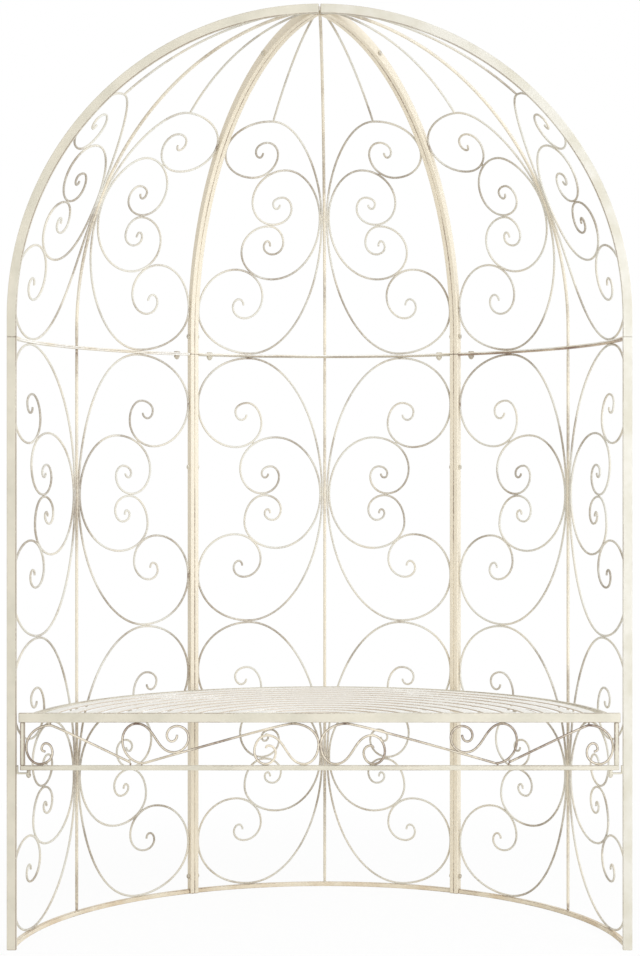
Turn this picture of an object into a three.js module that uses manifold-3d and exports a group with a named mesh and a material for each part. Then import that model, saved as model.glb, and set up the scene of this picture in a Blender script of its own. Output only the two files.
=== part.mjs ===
// Garden arbour with a half-round seat, in millimetres, +Z up.
// Three panels stand side by side in a half circle, the middle one a little narrower than the others,
// and three gores on top of them make the half dome.
// The origin is the middle of the floor area that the arbour covers, and the open side faces -Y.

import * as THREE from "three";
import { mergeVertices } from "three/addons/utils/BufferGeometryUtils.js";
import Module from "manifold-3d";

const wasm = await Module();
wasm.setup();

// Arbour
const arbourRadius = 661;
const springHeight = 1339;
const ringDrop = 43;
const sidePanelAngle = THREE.MathUtils.degToRad(61);
const crownSlit = 3.7;
const fitGap = 0.3;

// Bars and rods
const tubeDepth = 20;
const tubeWidth = 10;
const floorRailSize = 10;
const ringRailDepth = 15;
const ringRailHeight = 3;
const centreBarSize = 7;
const rodSize = 5;
const lowerScrollSink = 20;
const domeScrollSink = 13;
const weldBite = 0.5;
const weldSize = 4;

// Bolts
const boltSize = 6;
const boltHeadAcross = 10;
const boltHeadHeight = 4;
const nutHeight = 5;
const floorBoltHeight = 41;
const ringBoltDrop = 271;
const crownBoltTilt = THREE.MathUtils.degToRad(22.2);
const ringBoltOffset = 43;
const ringBoltHeadAcross = 12;
const ringBoltHeadHeight = 3;
const domeNutAcross = 12;
const slimNutAcross = 10;
const domeNutHeight = 11;
const domeNutTipSize = 5;
const threadDepth = 7;

// Seat
const seatHeight = 501;
const seatRailHeight = 20;
const seatRailDepth = 10;
const seatEndGap = 5;
const rimSize = 10;
const rimGap = 13;
const slatWidth = 25;
const slatGap = 17;
const slatThickness = 3;
const seatMiddleSize = 30;
const bearerWidth = 20;
const bearerHeight = 5;

// Apron under the seat's front edge
const apronOpening = 91;
const apronBarSize = 10;
const apronInset = 3;
const apronRodSize = 5;

// Seat brackets
const bracketThickness = 3;
const bracketLegHeight = 18;
const frontBracketReach = 29;
const frontBoltReach = 25.7;
const frontSpacerHeight = 5;
const frontSpacerSize = 10;
const rearBracketWidth = 20;
const rearBracketReach = 25;

// Facets: a curve gets more steps the larger it is against this size
const facetSize = 16;
const roundSides = 6;

// Worked out from the sizes above
const sideHalf = sidePanelAngle / 2;
const centreHalf = Math.PI / 2 - sidePanelAngle;
const seamHalf = fitGap / 2;
const ringHeight = springHeight - ringDrop;
const shellRadius = arbourRadius - tubeDepth / 2;
const innerRadius = arbourRadius - tubeDepth;
const crownRise = springHeight + shellRadius * Math.PI / 2;
const seamClear = seamHalf + tubeWidth + fitGap;
const weldPitch = rodSize - weldBite;
const railTop = seatHeight - seatRailHeight;
const seatHalfLength = innerRadius - seatEndGap;
const seatBack = seamHalf + seatRailDepth + fitGap;
const rimOuterRadius = innerRadius - rimGap;
const rimInnerRadius = rimOuterRadius - rimSize;
const rimTop = railTop + rimSize;
const apronTop = railTop - fitGap;
const apronBarTop = railTop - apronOpening;
const apronBarBottom = apronBarTop - apronBarSize;
const apronHalfLength = seatHalfLength - apronInset;
const barMiddleY = seamHalf + seatRailDepth / 2;

// A bend of a scroll is named by the way that the rod runs there
const level = "level";
const upright = "upright";

// Scroll bends, from the lower curl to the upper curl:
// share of the way from the centre bar to the post, share of the scroll's height, run there,
// then any extra distance across and up, counted in rods that touch.
const lowerOuterShares = [
  [0.632, 0.208, upright], [0.66, 0.227, level], [0.702, 0.2, upright], [0.62, 0.166, level],
  [0.485, 0.234, upright], [0.69, 0.328, level], [1, 0.175, upright], [0.58, 0, level], [0, 0.48, upright],
  [0.58, 1, level], [1, 0.82, upright], [0.685, 0.66, level], [0.48, 0.75, upright],
  [0.595, 0.829, level], [0.69, 0.795, upright], [0.64, 0.764, level], [0.6, 0.784, upright],
];
const lowerInnerShares = [
  [0.41, 0.407, upright], [0.428, 0.423, level], [0.453, 0.408, upright], [0.39, 0.382, level],
  [0.325, 0.423, upright], [0.455, 0.48, level, 0, -0.5], [0.615, 0.375, upright],
  [0.36, 0.275, level], [0, 0.48, upright, 1], [0.366, 0.698, level], [0.65, 0.578, upright],
  [0.475, 0.48, level, 0, 0.5], [0.34, 0.547, upright], [0.407, 0.587, level],
  [0.477, 0.56, upright], [0.452, 0.544, level], [0.425, 0.559, upright],
];
const lowerWeldShares = [[0.545, 0.675], [0.545, 0.298]];
const domeOuterShares = [
  [0.628, 0.109, upright], [0.665, 0.123, level], [0.714, 0.105, upright], [0.622, 0.08, level],
  [0.477, 0.1295, upright], [0.7, 0.19, level], [1, 0.0945, upright], [0.575, 0, level], [0, 0.315, upright],
  [0.565, 0.559, level], [1, 0.48, upright], [0.67, 0.409, level], [0.442, 0.466, upright],
  [0.572, 0.501, level], [0.68, 0.479, upright], [0.625, 0.461, level], [0.6, 0.473, upright],
];
const domeInnerShares = [
  [0.432, 0.246, upright], [0.455, 0.258, level], [0.485, 0.245, upright], [0.412, 0.2275, level],
  [0.323, 0.254, upright], [0.45, 0.295, level, 0, -0.5], [0.67, 0.235, upright],
  [0.415, 0.17, level], [0, 0.317, upright, 1], [0.34, 0.431, level], [0.625, 0.358, upright],
  [0.425, 0.295, level, 0, 0.5], [0.266, 0.334, upright], [0.351, 0.363, level],
  [0.434, 0.348, upright], [0.4, 0.335, level], [0.372, 0.345, upright],
];
const domeWeldShares = [[0.515, 0.419], [0.565, 0.18]];
const spokeTopShare = 0.43;
const domeCrossShare = 0.41;

// Apron bends on one side of the middle: share of the way to the upright, share of the height.
// A tail runs straight and then bends, and carries the corner that it bends at.
const commaShares = [
  [0.645, 0.04, "tail", 0.9065, 0.96], [0.918, 0.96, level], [1, 0.42, upright], [0.9545, 0, level],
  [0.911, 0.282, upright], [0.933, 0.514, level], [0.948, 0.373, upright], [0.935, 0.31, level],
];
const essShares = [
  [0.6, 0.02, level], [0.6725, 0.5885, upright], [0.624, 1, level], [0.497, 0.29, level],
  [0.447, 0.66, upright], [0.486, 0.94, level], [0.521, 0.71, upright], [0.504, 0.559, level],
  [0.486, 0.722, upright],
];
const longShares = [
  [0.6, 0.02, "tail", 0.13, 1], [0.091, 1, level], [0, 0.492, upright, 0.5], [0.053, 0, level],
  [0.178, 0.71, level], [0.2224, 0.314, upright], [0.1846, 0, level], [0.15, 0.284, upright],
  [0.174, 0.4575, level], [0.183, 0.393, upright],
];
const apronWeldShares = [[0.647, 0.13], [0.497, 0.26]];

// Solids

function toSolid(geometry) {
  const bare = geometry.clone();
  bare.deleteAttribute("normal");
  bare.deleteAttribute("uv");
  const merged = mergeVertices(bare);
  return new wasm.Manifold(new wasm.Mesh({
    numProp: 3,
    vertProperties: new Float32Array(merged.attributes.position.array),
    triVerts: new Uint32Array(merged.index.array),
  }));
}

function toGeometry(solid) {
  const mesh = solid.getMesh();
  const geometry = new THREE.BufferGeometry();
  geometry.setAttribute("position", new THREE.BufferAttribute(new Float32Array(mesh.vertProperties), 3));
  geometry.setIndex(new THREE.BufferAttribute(new Uint32Array(mesh.triVerts), 1));
  geometry.computeVertexNormals();
  return geometry;
}

function joined(geometries) {
  return toGeometry(geometries.map(toSolid).reduce((sum, solid) => sum.add(solid)));
}

function cut(geometry, cutters) {
  return toGeometry(cutters.map(toSolid).reduce((rest, solid) => rest.subtract(solid), toSolid(geometry)));
}

function box(x0, x1, y0, y1, z0, z1) {
  return new THREE.BoxGeometry(x1 - x0, y1 - y0, z1 - z0)
    .translate((x0 + x1) / 2, (y0 + y1) / 2, (z0 + z1) / 2);
}

// A peg along Z from z0 to z1, as wide across its flats as size, with flats to the left and right
function peg(size, z0, z1) {
  const radius = size / 2 / Math.cos(Math.PI / roundSides);
  return new THREE.CylinderGeometry(radius, radius, z1 - z0, roundSides)
    .rotateX(Math.PI / 2)
    .rotateZ(Math.PI / roundSides)
    .translate(0, 0, (z0 + z1) / 2);
}

// A dome nut that hangs down from z0 and tapers to its tip
function domeNut(across, z0) {
  const profile = [
    [0, -domeNutHeight], [domeNutTipSize / 2, -domeNutHeight],
    [across / 2, -domeNutHeight / 2], [across / 2, 0], [0, 0],
  ];
  return new THREE.LatheGeometry(profile.map(([x, y]) => new THREE.Vector2(x, y)), roundSides)
    .rotateX(Math.PI / 2)
    .translate(0, 0, z0);
}

function quarterSteps(radius) {
  return Math.max(2, Math.round(Math.sqrt(radius / facetSize)));
}

// Rods

// A rod of one section along a path of points, each with the surface's normal there
function rodAlong(path, size, sides = 4) {
  const reach = size / 2 / Math.cos(Math.PI / sides);
  const positions = [];
  const index = [];
  path.forEach(({ point, normal }, i) => {
    const before = path[Math.max(0, i - 1)].point;
    const after = path[Math.min(path.length - 1, i + 1)].point;
    const run = after.clone().sub(before).normalize();
    const across = normal.clone().cross(run).normalize();
    const out = run.clone().cross(across);
    for (let k = 0; k < sides; k += 1) {
      const turn = (2 * k + 1) * Math.PI / sides;
      const corner = point.clone()
        .addScaledVector(across, reach * Math.cos(turn))
        .addScaledVector(out, reach * Math.sin(turn));
      positions.push(corner.x, corner.y, corner.z);
    }
  });
  for (let i = 0; i + 1 < path.length; i += 1) {
    for (let k = 0; k < sides; k += 1) {
      const next = (k + 1) % sides;
      const a = i * sides + k;
      const b = i * sides + next;
      const c = b + sides;
      const d = a + sides;
      index.push(a, b, c, a, c, d);
    }
  }
  const last = (path.length - 1) * sides;
  for (let k = 1; k + 1 < sides; k += 1) {
    index.push(0, k + 1, k, last, last + k, last + k + 1);
  }
  const geometry = new THREE.BufferGeometry();
  geometry.setAttribute("position", new THREE.Float32BufferAttribute(positions, 3));
  geometry.setIndex(index);
  return geometry;
}

function nearestOn(path, spot) {
  let best = path[0].point;
  for (let i = 0; i + 1 < path.length; i += 1) {
    const line = new THREE.Line3(path[i].point, path[i + 1].point);
    const near = line.closestPointToPoint(spot, true, new THREE.Vector3());
    if (near.distanceTo(spot) < best.distanceTo(spot)) {
      best = near;
    }
  }
  return best;
}

// A weld that joins two rods where they pass nearest to a spot
function weld(first, second, { point, normal }) {
  const from = nearestOn(first, point);
  const to = nearestOn(second, point);
  return rodAlong([{ point: from, normal }, { point: to, normal }], weldSize);
}

// Places along a scroll. A quarter of an ellipse joins a level bend to an upright one,
// two level bends are joined by an S, and a tail is a straight run with one bend in it.
// A place is the shares across and up with the touching rods to add, as [across, up, rodsAcross, rodsUp].
function scrollPlaces(bends, width, height) {
  const spots = bends.map(([across, up, run, a = 0, b = 0]) => (
    run === "tail" ? { across, up, run, a: 0, b: 0, corner: [a, b] } : { across, up, run, a, b }
  ));
  const places = [];
  const blend = (from, to, s, t) => [
    from.across + (to.across - from.across) * s,
    from.up + (to.up - from.up) * t,
    from.a + (to.a - from.a) * s,
    from.b + (to.b - from.b) * t,
  ];
  for (let i = 0; i + 1 < spots.length; i += 1) {
    const from = spots[i];
    const to = spots[i + 1];
    const wide = Math.abs(to.across - from.across) * width;
    const high = Math.abs(to.up - from.up) * height;
    const steps = quarterSteps((wide + high) / 2);
    for (let k = 0; k < steps; k += 1) {
      const t = k / steps;
      const sine = Math.sin(t * Math.PI / 2);
      const fall = 1 - Math.cos(t * Math.PI / 2);
      if (from.run === "tail") {
        const bend = (start, corner, end) => (
          start * (1 - t) ** 2 + corner * 2 * t * (1 - t) + end * t ** 2
        );
        places.push([
          bend(from.across, from.corner[0], to.across), bend(from.up, from.corner[1], to.up), 0, 0,
        ]);
      } else if (from.run === to.run) {
        const ess = t * t * (3 - 2 * t);
        const swing = (3 * t * (1 - t) + 2 * t ** 3) / 2;
        places.push(blend(from, to, swing, ess));
      } else if (from.run === level) {
        places.push(blend(from, to, sine, fall));
      } else {
        places.push(blend(from, to, fall, sine));
      }
    }
  }
  const end = spots[spots.length - 1];
  places.push([end.across, end.up, end.a, end.b]);
  return places;
}

// The shell that all rods of a panel lie in: upright to the spring height, then a dome.
// angle is measured from the panel's middle, and rise is the way up along the shell.
function shellSpot(angle, rise) {
  const bend = Math.max(0, rise - springHeight) / shellRadius;
  const flat = new THREE.Vector3(Math.cos(angle), Math.sin(angle), 0);
  const normal = flat.clone().multiplyScalar(Math.cos(bend));
  normal.z = Math.sin(bend);
  const point = normal.clone().multiplyScalar(shellRadius);
  point.z += Math.min(rise, springHeight);
  return { point, normal };
}

function ringRadius(rise) {
  return shellRadius * Math.cos(Math.max(0, rise - springHeight) / shellRadius);
}

// The angle at a share of the way from the centre bar to the post, for a rod that touches both at 0 and 1.
// half is half the angle of the panel.
function acrossAngle(share, rods, rise, half) {
  const radius = ringRadius(rise);
  const first = Math.asin((centreBarSize / 2 + fitGap + rodSize / 2) / radius);
  const last = half - Math.asin((seamClear + rodSize / 2) / radius);
  return first + share * (last - first) + rods * weldPitch / radius;
}

// How far the scrolls lie inside the shell. They are flatter than the rails that they meet, so between
// the bars they sink in, and in the dome they cross the shell part of the way up and stand out above that.
function inset(across, rise) {
  const bow = 1 - (2 * across - 1) ** 2;
  if (rise < ringHeight) {
    return lowerScrollSink * bow * Math.sin(Math.PI * rise / ringHeight);
  }
  const domeShare = (rise - ringHeight) / (crownRise - ringHeight);
  return domeScrollSink * bow * Math.sin(Math.PI * domeShare / domeCrossShare);
}

// A place in one half of a panel. side is 1 towards the panel's left seam and -1 towards its right.
function panelSpot([across, up, rodsAcross = 0, rodsUp = 0], bottom, height, side, half) {
  const rise = bottom + up * height + rodsUp * weldPitch;
  const spot = shellSpot(side * acrossAngle(across, rodsAcross, rise, half), rise);
  spot.point.x -= inset(across, rise);
  return spot;
}

// One motif: an outer and an inner C-scroll, welded where their loops touch
function shellMotif(outerBends, innerBends, weldSpots, bottom, height, side, half) {
  const width = shellRadius * half;
  const spot = (place) => panelSpot(place, bottom, height, side, half);
  const [outer, inner] = [outerBends, innerBends].map((bends) => (
    scrollPlaces(bends, width, height).map(spot)
  ));
  const welds = weldSpots.map((place) => weld(outer, inner, spot(place)));
  return [rodAlong(outer, rodSize), rodAlong(inner, rodSize), ...welds];
}

// Lower tier

const lowerScrollBottom = floorRailSize + fitGap + rodSize / 2;
const lowerScrollTop = ringHeight - seamHalf - ringRailHeight - fitGap - rodSize / 2;
const lowerScrollHeight = (lowerScrollTop - lowerScrollBottom - weldPitch) / 2;

function lowerScrolls(side, half) {
  return joined([lowerScrollBottom, lowerScrollTop - lowerScrollHeight].flatMap((bottom) => (
    shellMotif(lowerOuterShares, lowerInnerShares, lowerWeldShares, bottom, lowerScrollHeight, side, half)
  )));
}

// In a seam's own frame X runs out from the axis and Y across the seam
function acrossSeam(geometry, x, z) {
  return geometry.rotateX(Math.PI / 2).translate(x, 0, z);
}

function boltHole(x, z) {
  return acrossSeam(peg(boltSize + 2 * fitGap, -arbourRadius, arbourRadius), x, z);
}

const crownBoltPlace = [
  shellRadius * Math.sin(crownBoltTilt),
  springHeight + shellRadius * Math.cos(crownBoltTilt),
];
const postBoltPlaces = [[shellRadius, floorBoltHeight], [shellRadius, ringHeight - ringBoltDrop]];
const ribBoltPlaces = [[shellRadius, springHeight], crownBoltPlace];

function post(side, atJunction) {
  const far = -side * (seamHalf + tubeWidth);
  const near = -side * seamHalf;
  const tube = box(
    innerRadius, arbourRadius, Math.min(far, near), Math.max(far, near), 0, ringHeight - seamHalf,
  );
  return atJunction ? cut(tube, postBoltPlaces.map(([x, z]) => boltHole(x, z))) : tube;
}

// A rail curved in plan that fits between a panel's two posts, from height z0 to z1
function panelRail(depth, z0, z1, half, holes = []) {
  const outer = shellRadius + depth / 2;
  const inner = shellRadius - depth / 2;
  const outerTurn = half - Math.asin(seamClear / outer);
  const innerTurn = half - Math.asin(seamClear / inner);
  const outline = new THREE.Shape()
    .absarc(0, 0, outer, -outerTurn, outerTurn, false)
    .absarc(0, 0, inner, innerTurn, -innerTurn, true);
  const curveSegments = Math.ceil(quarterSteps(outer) / 2);
  const bar = new THREE.ExtrudeGeometry(outline, { depth: z1 - z0, bevelEnabled: false, curveSegments })
    .translate(0, 0, z0);
  return holes.length ? cut(bar, holes) : bar;
}

// The ring bolt's hole, beside the seam at the panel's left (1) or right (-1) edge
function ringBoltTurn(side, half) {
  return side * (half - Math.asin(ringBoltOffset / shellRadius));
}

function ringBoltHole(side, half) {
  const turn = ringBoltTurn(side, half);
  return peg(boltSize + 2 * fitGap, 0, crownRise)
    .translate(shellRadius * Math.cos(turn), shellRadius * Math.sin(turn), 0);
}

function centreBar() {
  return peg(centreBarSize, floorRailSize + fitGap, ringHeight - seamHalf - ringRailHeight - fitGap)
    .translate(shellRadius, 0, 0);
}

// Dome

const domeScrollBottom = ringHeight + seamHalf + ringRailHeight + fitGap + rodSize / 2;
const domeScrollHeight = crownRise - domeScrollBottom;
const gableEnd = (seamHalf + tubeWidth) / Math.tan(centreHalf) + fitGap;

// A rib in its seam's frame. The front ribs run on to the slit at the crown,
// and the others end where the ribs of the middle gore would meet.
function rib(side, atJunction) {
  const end = atJunction ? Math.max(gableEnd, behindArch()) : crownSlit / 2;
  const outerTurn = Math.acos(end / arbourRadius);
  const innerTurn = Math.acos(end / innerRadius);
  const outline = new THREE.Shape()
    .moveTo(arbourRadius, ringHeight + seamHalf)
    .lineTo(arbourRadius, springHeight)
    .absarc(0, springHeight, arbourRadius, 0, outerTurn, false)
    .absarc(0, springHeight, innerRadius, innerTurn, 0, true)
    .lineTo(innerRadius, ringHeight + seamHalf);
  const curveSegments = quarterSteps(arbourRadius);
  const bar = new THREE.ExtrudeGeometry(outline, { depth: tubeWidth, bevelEnabled: false, curveSegments })
    .rotateX(Math.PI / 2)
    .translate(0, side > 0 ? -seamHalf : seamHalf + tubeWidth, 0);
  return atJunction ? cut(bar, ribBoltPlaces.map(([x, z]) => boltHole(x, z))) : bar;
}

// Where a side gore's rear rib comes up behind the front arch
function behindArch() {
  const arch = seamHalf + tubeWidth + fitGap;
  return (arch + (seamHalf + tubeWidth) * Math.cos(sidePanelAngle)) / Math.sin(sidePanelAngle) + fitGap;
}

// How near the axis a bar may come, at an angle from the seam plane, before it meets the rib
function ribReach(size, angle) {
  return (seamClear + size / 2 * Math.cos(angle)) / Math.sin(angle);
}

function riseAt(radius) {
  return springHeight + shellRadius * Math.acos(radius / shellRadius);
}

function centreRib(half) {
  const bottom = ringHeight + seamHalf + ringRailHeight + fitGap;
  const top = riseAt(ribReach(centreBarSize, half));
  const steps = 2 * quarterSteps(shellRadius);
  const path = [shellSpot(0, bottom)];
  for (let i = 0; i <= steps; i += 1) {
    path.push(shellSpot(0, springHeight + (top - springHeight) * i / steps));
  }
  return rodAlong(path, centreBarSize, roundSides);
}

function spoke(side, half) {
  const [topShare, riseShare] = domeOuterShares.reduce((best, bend) => (bend[1] > best[1] ? bend : best));
  const startRise = domeScrollBottom + riseShare * domeScrollHeight;
  const startInset = inset(topShare, startRise);
  const startAngle = acrossAngle(topShare, 0, startRise, half);
  const endAngle = spokeTopShare * half;
  const endRise = riseAt(ribReach(rodSize, half - endAngle));
  const steps = quarterSteps(shellRadius);
  const path = [];
  for (let i = 0; i <= steps; i += 1) {
    const t = i / steps;
    const angle = startAngle + (endAngle - startAngle) * t;
    const spot = shellSpot(side * angle, startRise + (endRise - startRise) * t);
    spot.point.x -= startInset * (1 - t);
    path.push(spot);
  }
  return rodAlong(path, rodSize);
}

function domeScrolls(side, half) {
  const motif = shellMotif(
    domeOuterShares, domeInnerShares, domeWeldShares, domeScrollBottom, domeScrollHeight, side, half,
  );
  return joined([...motif, spoke(side, half)]);
}

// Bolts

// A bolt through both tubes of a junction, in the seam's frame: head on one side, nut on the other
function junctionBolt() {
  const grip = seamHalf + tubeWidth + fitGap;
  return joined([
    peg(boltSize, -grip - nutHeight, grip + boltHeadHeight / 2),
    peg(boltHeadAcross, grip, grip + boltHeadHeight),
    peg(boltHeadAcross, -grip - nutHeight, -grip),
  ]).rotateX(-Math.PI / 2);
}

// A bolt through the two ring rails: flat head above, dome nut below
function ringBolt() {
  const grip = seamHalf + ringRailHeight + fitGap;
  return joined([
    peg(boltSize, -grip - domeNutHeight / 2, grip + ringBoltHeadHeight / 2),
    peg(ringBoltHeadAcross, grip, grip + ringBoltHeadHeight),
    domeNut(domeNutAcross, -grip),
  ]);
}

// Seat

function seatFrontRail() {
  return box(-seatHalfLength, seatHalfLength, seamHalf, seamHalf + seatRailDepth, railTop, seatHeight);
}

// A half ring that ends on the back of the seat's front rail
function halfRing(outer, inner, z0, z1, steps = quarterSteps(outer)) {
  const outerTurn = Math.asin(seatBack / outer);
  const innerTurn = Math.asin(seatBack / inner);
  const outline = new THREE.Shape()
    .absarc(0, 0, outer, outerTurn, Math.PI - outerTurn, false)
    .absarc(0, 0, inner, Math.PI - innerTurn, innerTurn, true);
  const settings = { depth: z1 - z0, bevelEnabled: false, curveSegments: steps };
  return new THREE.ExtrudeGeometry(outline, settings).translate(0, 0, z0);
}

const junctionAngles = [sidePanelAngle, Math.PI - sidePanelAngle];
const rearBoltRadius = rimOuterRadius - rimSize / 2;

function seatRearRim() {
  const threads = junctionAngles.map((turn) => (
    peg(boltSize + 2 * fitGap, railTop - fitGap, railTop + threadDepth + fitGap)
      .translate(rearBoltRadius * Math.cos(turn), rearBoltRadius * Math.sin(turn), 0)
  ));
  return cut(halfRing(rimOuterRadius, rimInnerRadius, railTop, rimTop), threads);
}

// As many slats as fit between the rim and the open middle of the seat
function seatSlats() {
  const bottom = rimTop - slatThickness;
  const pieces = [];
  const slatCount = Math.floor((rimInnerRadius - seatMiddleSize / 2) / (slatWidth + slatGap));
  for (let i = 0; i < slatCount; i += 1) {
    const outer = rimInnerRadius - slatGap - i * (slatWidth + slatGap);
    pieces.push(halfRing(outer, outer - slatWidth, bottom, rimTop));
  }
  const start = (seatBack + bearerWidth / 2 * Math.cos(sidePanelAngle)) / Math.sin(sidePanelAngle);
  for (const turn of [...junctionAngles, Math.PI / 2]) {
    pieces.push(box(
      start, rimOuterRadius, -bearerWidth / 2, bearerWidth / 2,
      bottom + weldBite - bearerHeight, bottom + weldBite,
    ).rotateZ(turn));
  }
  const rimRoom = halfRing(
    arbourRadius, rimInnerRadius - fitGap, 0, seatHeight, quarterSteps(rimOuterRadius),
  );
  return cut(joined(pieces), [rimRoom]);
}

function seatApronFrame() {
  const inside = apronHalfLength - apronBarSize;
  const outline = new THREE.Shape([
    [-apronHalfLength, apronTop], [-apronHalfLength, apronBarBottom], [apronHalfLength, apronBarBottom],
    [apronHalfLength, apronTop], [inside, apronTop], [inside, apronBarTop], [-inside, apronBarTop],
    [-inside, apronTop],
  ].map(([x, z]) => new THREE.Vector2(x, z)));
  const frame = new THREE.ExtrudeGeometry(outline, { depth: apronBarSize, bevelEnabled: false })
    .rotateX(Math.PI / 2)
    .translate(0, seamHalf + apronBarSize, 0);
  const threads = [-1, 1].map((side) => (
    peg(boltSize + 2 * fitGap, apronBarBottom - fitGap, apronBarBottom + threadDepth + fitGap)
      .translate(side * (innerRadius - frontBoltReach), barMiddleY, 0)
  ));
  return cut(frame, threads);
}

function seatApronScrolls() {
  const width = apronHalfLength - apronBarSize - fitGap - apronRodSize / 2;
  const bottom = apronBarTop + fitGap + apronRodSize / 2;
  const height = railTop - fitGap - apronRodSize / 2 - bottom;
  const normal = new THREE.Vector3(0, -1, 0);
  const pitch = apronRodSize - weldBite;
  const spot = ([across, up, rodsAcross = 0, rodsUp = 0], side) => new THREE.Vector3(
    side * (across * width + rodsAcross * pitch), barMiddleY, bottom + up * height + rodsUp * pitch,
  );
  const pieces = [];
  for (const side of [-1, 1]) {
    const paths = [commaShares, essShares, longShares].map((bends) => (
      scrollPlaces(bends, width, height).map((place) => ({ point: spot(place, side), normal }))
    ));
    pieces.push(...paths.map((path) => rodAlong(path, apronRodSize)));
    pieces.push(...apronWeldShares.map((place, i) => (
      weld(paths[i], paths[i + 1], { point: spot(place, side), normal })
    )));
  }
  return joined(pieces);
}

// Seat brackets: an angle plate with the bolt that goes up through it.
// In its own frame X runs in from the face that it is fixed to, and Z = 0 is the top of its shelf.
function bracket(reach, width, boltReach, legUp, spacer) {
  const legTop = legUp ? bracketLegHeight - bracketThickness : 0;
  const legBottom = legUp ? -bracketThickness : -bracketLegHeight;
  const shank = peg(boltSize, -bracketThickness - domeNutHeight / 2, spacer + threadDepth);
  const pieces = [
    box(fitGap, fitGap + bracketThickness, -width / 2, width / 2, legBottom, legTop),
    box(fitGap, reach, -width / 2, width / 2, -bracketThickness, 0),
    shank.translate(boltReach, 0, 0),
    domeNut(slimNutAcross, weldBite - bracketThickness).translate(boltReach, 0, 0),
  ];
  if (spacer > 0) {
    pieces.push(peg(frontSpacerSize, -weldBite, spacer).translate(boltReach, 0, 0));
  }
  return joined(pieces);
}

// Assembly

const paint = (colour) => new THREE.MeshStandardMaterial({ color: colour, roughness: 0.5, metalness: 0.15 });
const tubePaint = paint(0xe6dfcb);
const rodPaint = paint(0xdfd6be);
const boltPaint = paint(0xcfc6ae);

function named(name, geometry, material) {
  const mesh = new THREE.Mesh(geometry, material);
  mesh.name = name;
  return mesh;
}

function scrollwork(half) {
  return {
    lower: { "1": lowerScrolls(1, half), "-1": lowerScrolls(-1, half) },
    dome: { "1": domeScrolls(1, half), "-1": domeScrolls(-1, half) },
  };
}

const sideKind = { half: sideHalf, scrolls: scrollwork(sideHalf) };
const centreKind = { half: centreHalf, scrolls: scrollwork(centreHalf) };

// Each panel's turn to its place, with the names of its right and left edges and which are junctions
const panels = [
  {
    name: "right", kind: sideKind, turn: sideHalf,
    edges: { "-1": ["right_front", false], "1": ["right_rear", true] },
  },
  {
    name: "centre", kind: centreKind, turn: Math.PI / 2,
    edges: { "-1": ["centre_right", true], "1": ["centre_left", true] },
  },
  {
    name: "left", kind: sideKind, turn: Math.PI - sideHalf,
    edges: { "-1": ["left_rear", true], "1": ["left_front", false] },
  },
];

function panelGroup({ name, kind: { half, scrolls }, turn, edges }) {
  const group = new THREE.Group();
  group.rotation.z = turn;
  const holes = [-1, 1].filter((side) => edges[side][1]).map((side) => ringBoltHole(side, half));
  const lowerRingTop = ringHeight - seamHalf;
  const domeRingBottom = ringHeight + seamHalf;
  group.add(
    named(`${name}_floor_rail`, panelRail(floorRailSize, 0, floorRailSize, half), tubePaint),
    named(`${name}_ring_rail`,
      panelRail(ringRailDepth, lowerRingTop - ringRailHeight, lowerRingTop, half, holes), tubePaint),
    named(`${name}_centre_bar`, centreBar(), tubePaint),
    named(`dome_${name}_ring_rail`,
      panelRail(ringRailDepth, domeRingBottom, domeRingBottom + ringRailHeight, half, holes), tubePaint),
    named(`dome_${name}_centre_rib`, centreRib(half), tubePaint),
  );
  for (const side of [-1, 1]) {
    const [edge, atJunction] = edges[side];
    const seam = new THREE.Group();
    seam.rotation.z = side * half;
    seam.add(
      named(`${edge}_post`, post(side, atJunction), tubePaint),
      named(`dome_${edge}_rib`, rib(side, atJunction), tubePaint),
    );
    group.add(
      seam,
      named(`${edge}_scrolls`, scrolls.lower[side], rodPaint),
      named(`dome_${edge}_scrolls`, scrolls.dome[side], rodPaint),
    );
    if (atJunction) {
      const bolt = named(`${edge}_ring_bolt`, ringBolt(), boltPaint);
      const boltTurn = ringBoltTurn(side, half);
      bolt.position.set(shellRadius * Math.cos(boltTurn), shellRadius * Math.sin(boltTurn), ringHeight);
      group.add(bolt);
    }
  }
  return group;
}

function junctionGroup(name, turn, boltTurn) {
  const group = new THREE.Group();
  group.rotation.z = turn;
  [...postBoltPlaces, ...ribBoltPlaces].forEach(([x, z], i) => {
    const bolt = named(`${name}_junction_bolt_${i + 1}`, junctionBolt(), boltPaint);
    bolt.position.set(x, 0, z);
    bolt.rotation.x = boltTurn;
    group.add(bolt);
  });
  const rear = named(`seat_rear_bracket_${name}`,
    bracket(rearBracketReach, rearBracketWidth, innerRadius - rearBoltRadius, false, 0), boltPaint);
  rear.position.set(innerRadius, 0, railTop - fitGap);
  rear.rotation.z = Math.PI;
  group.add(rear);
  return group;
}

function seatGroup() {
  const group = new THREE.Group();
  group.add(
    named("seat_front_rail", seatFrontRail(), tubePaint),
    named("seat_rear_rim", seatRearRim(), tubePaint),
    named("seat_slats", seatSlats(), tubePaint),
    named("seat_apron_frame", seatApronFrame(), tubePaint),
    named("seat_apron_scrolls", seatApronScrolls(), rodPaint),
  );
  for (const [name, side] of [["left", -1], ["right", 1]]) {
    const front = named(`seat_front_bracket_${name}`,
      bracket(frontBracketReach, tubeWidth, frontBoltReach, true, frontSpacerHeight), boltPaint);
    front.position.set(side * innerRadius, barMiddleY, apronBarBottom - fitGap - frontSpacerHeight);
    front.rotation.z = side > 0 ? Math.PI : 0;
    group.add(front);
  }
  return group;
}

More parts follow.
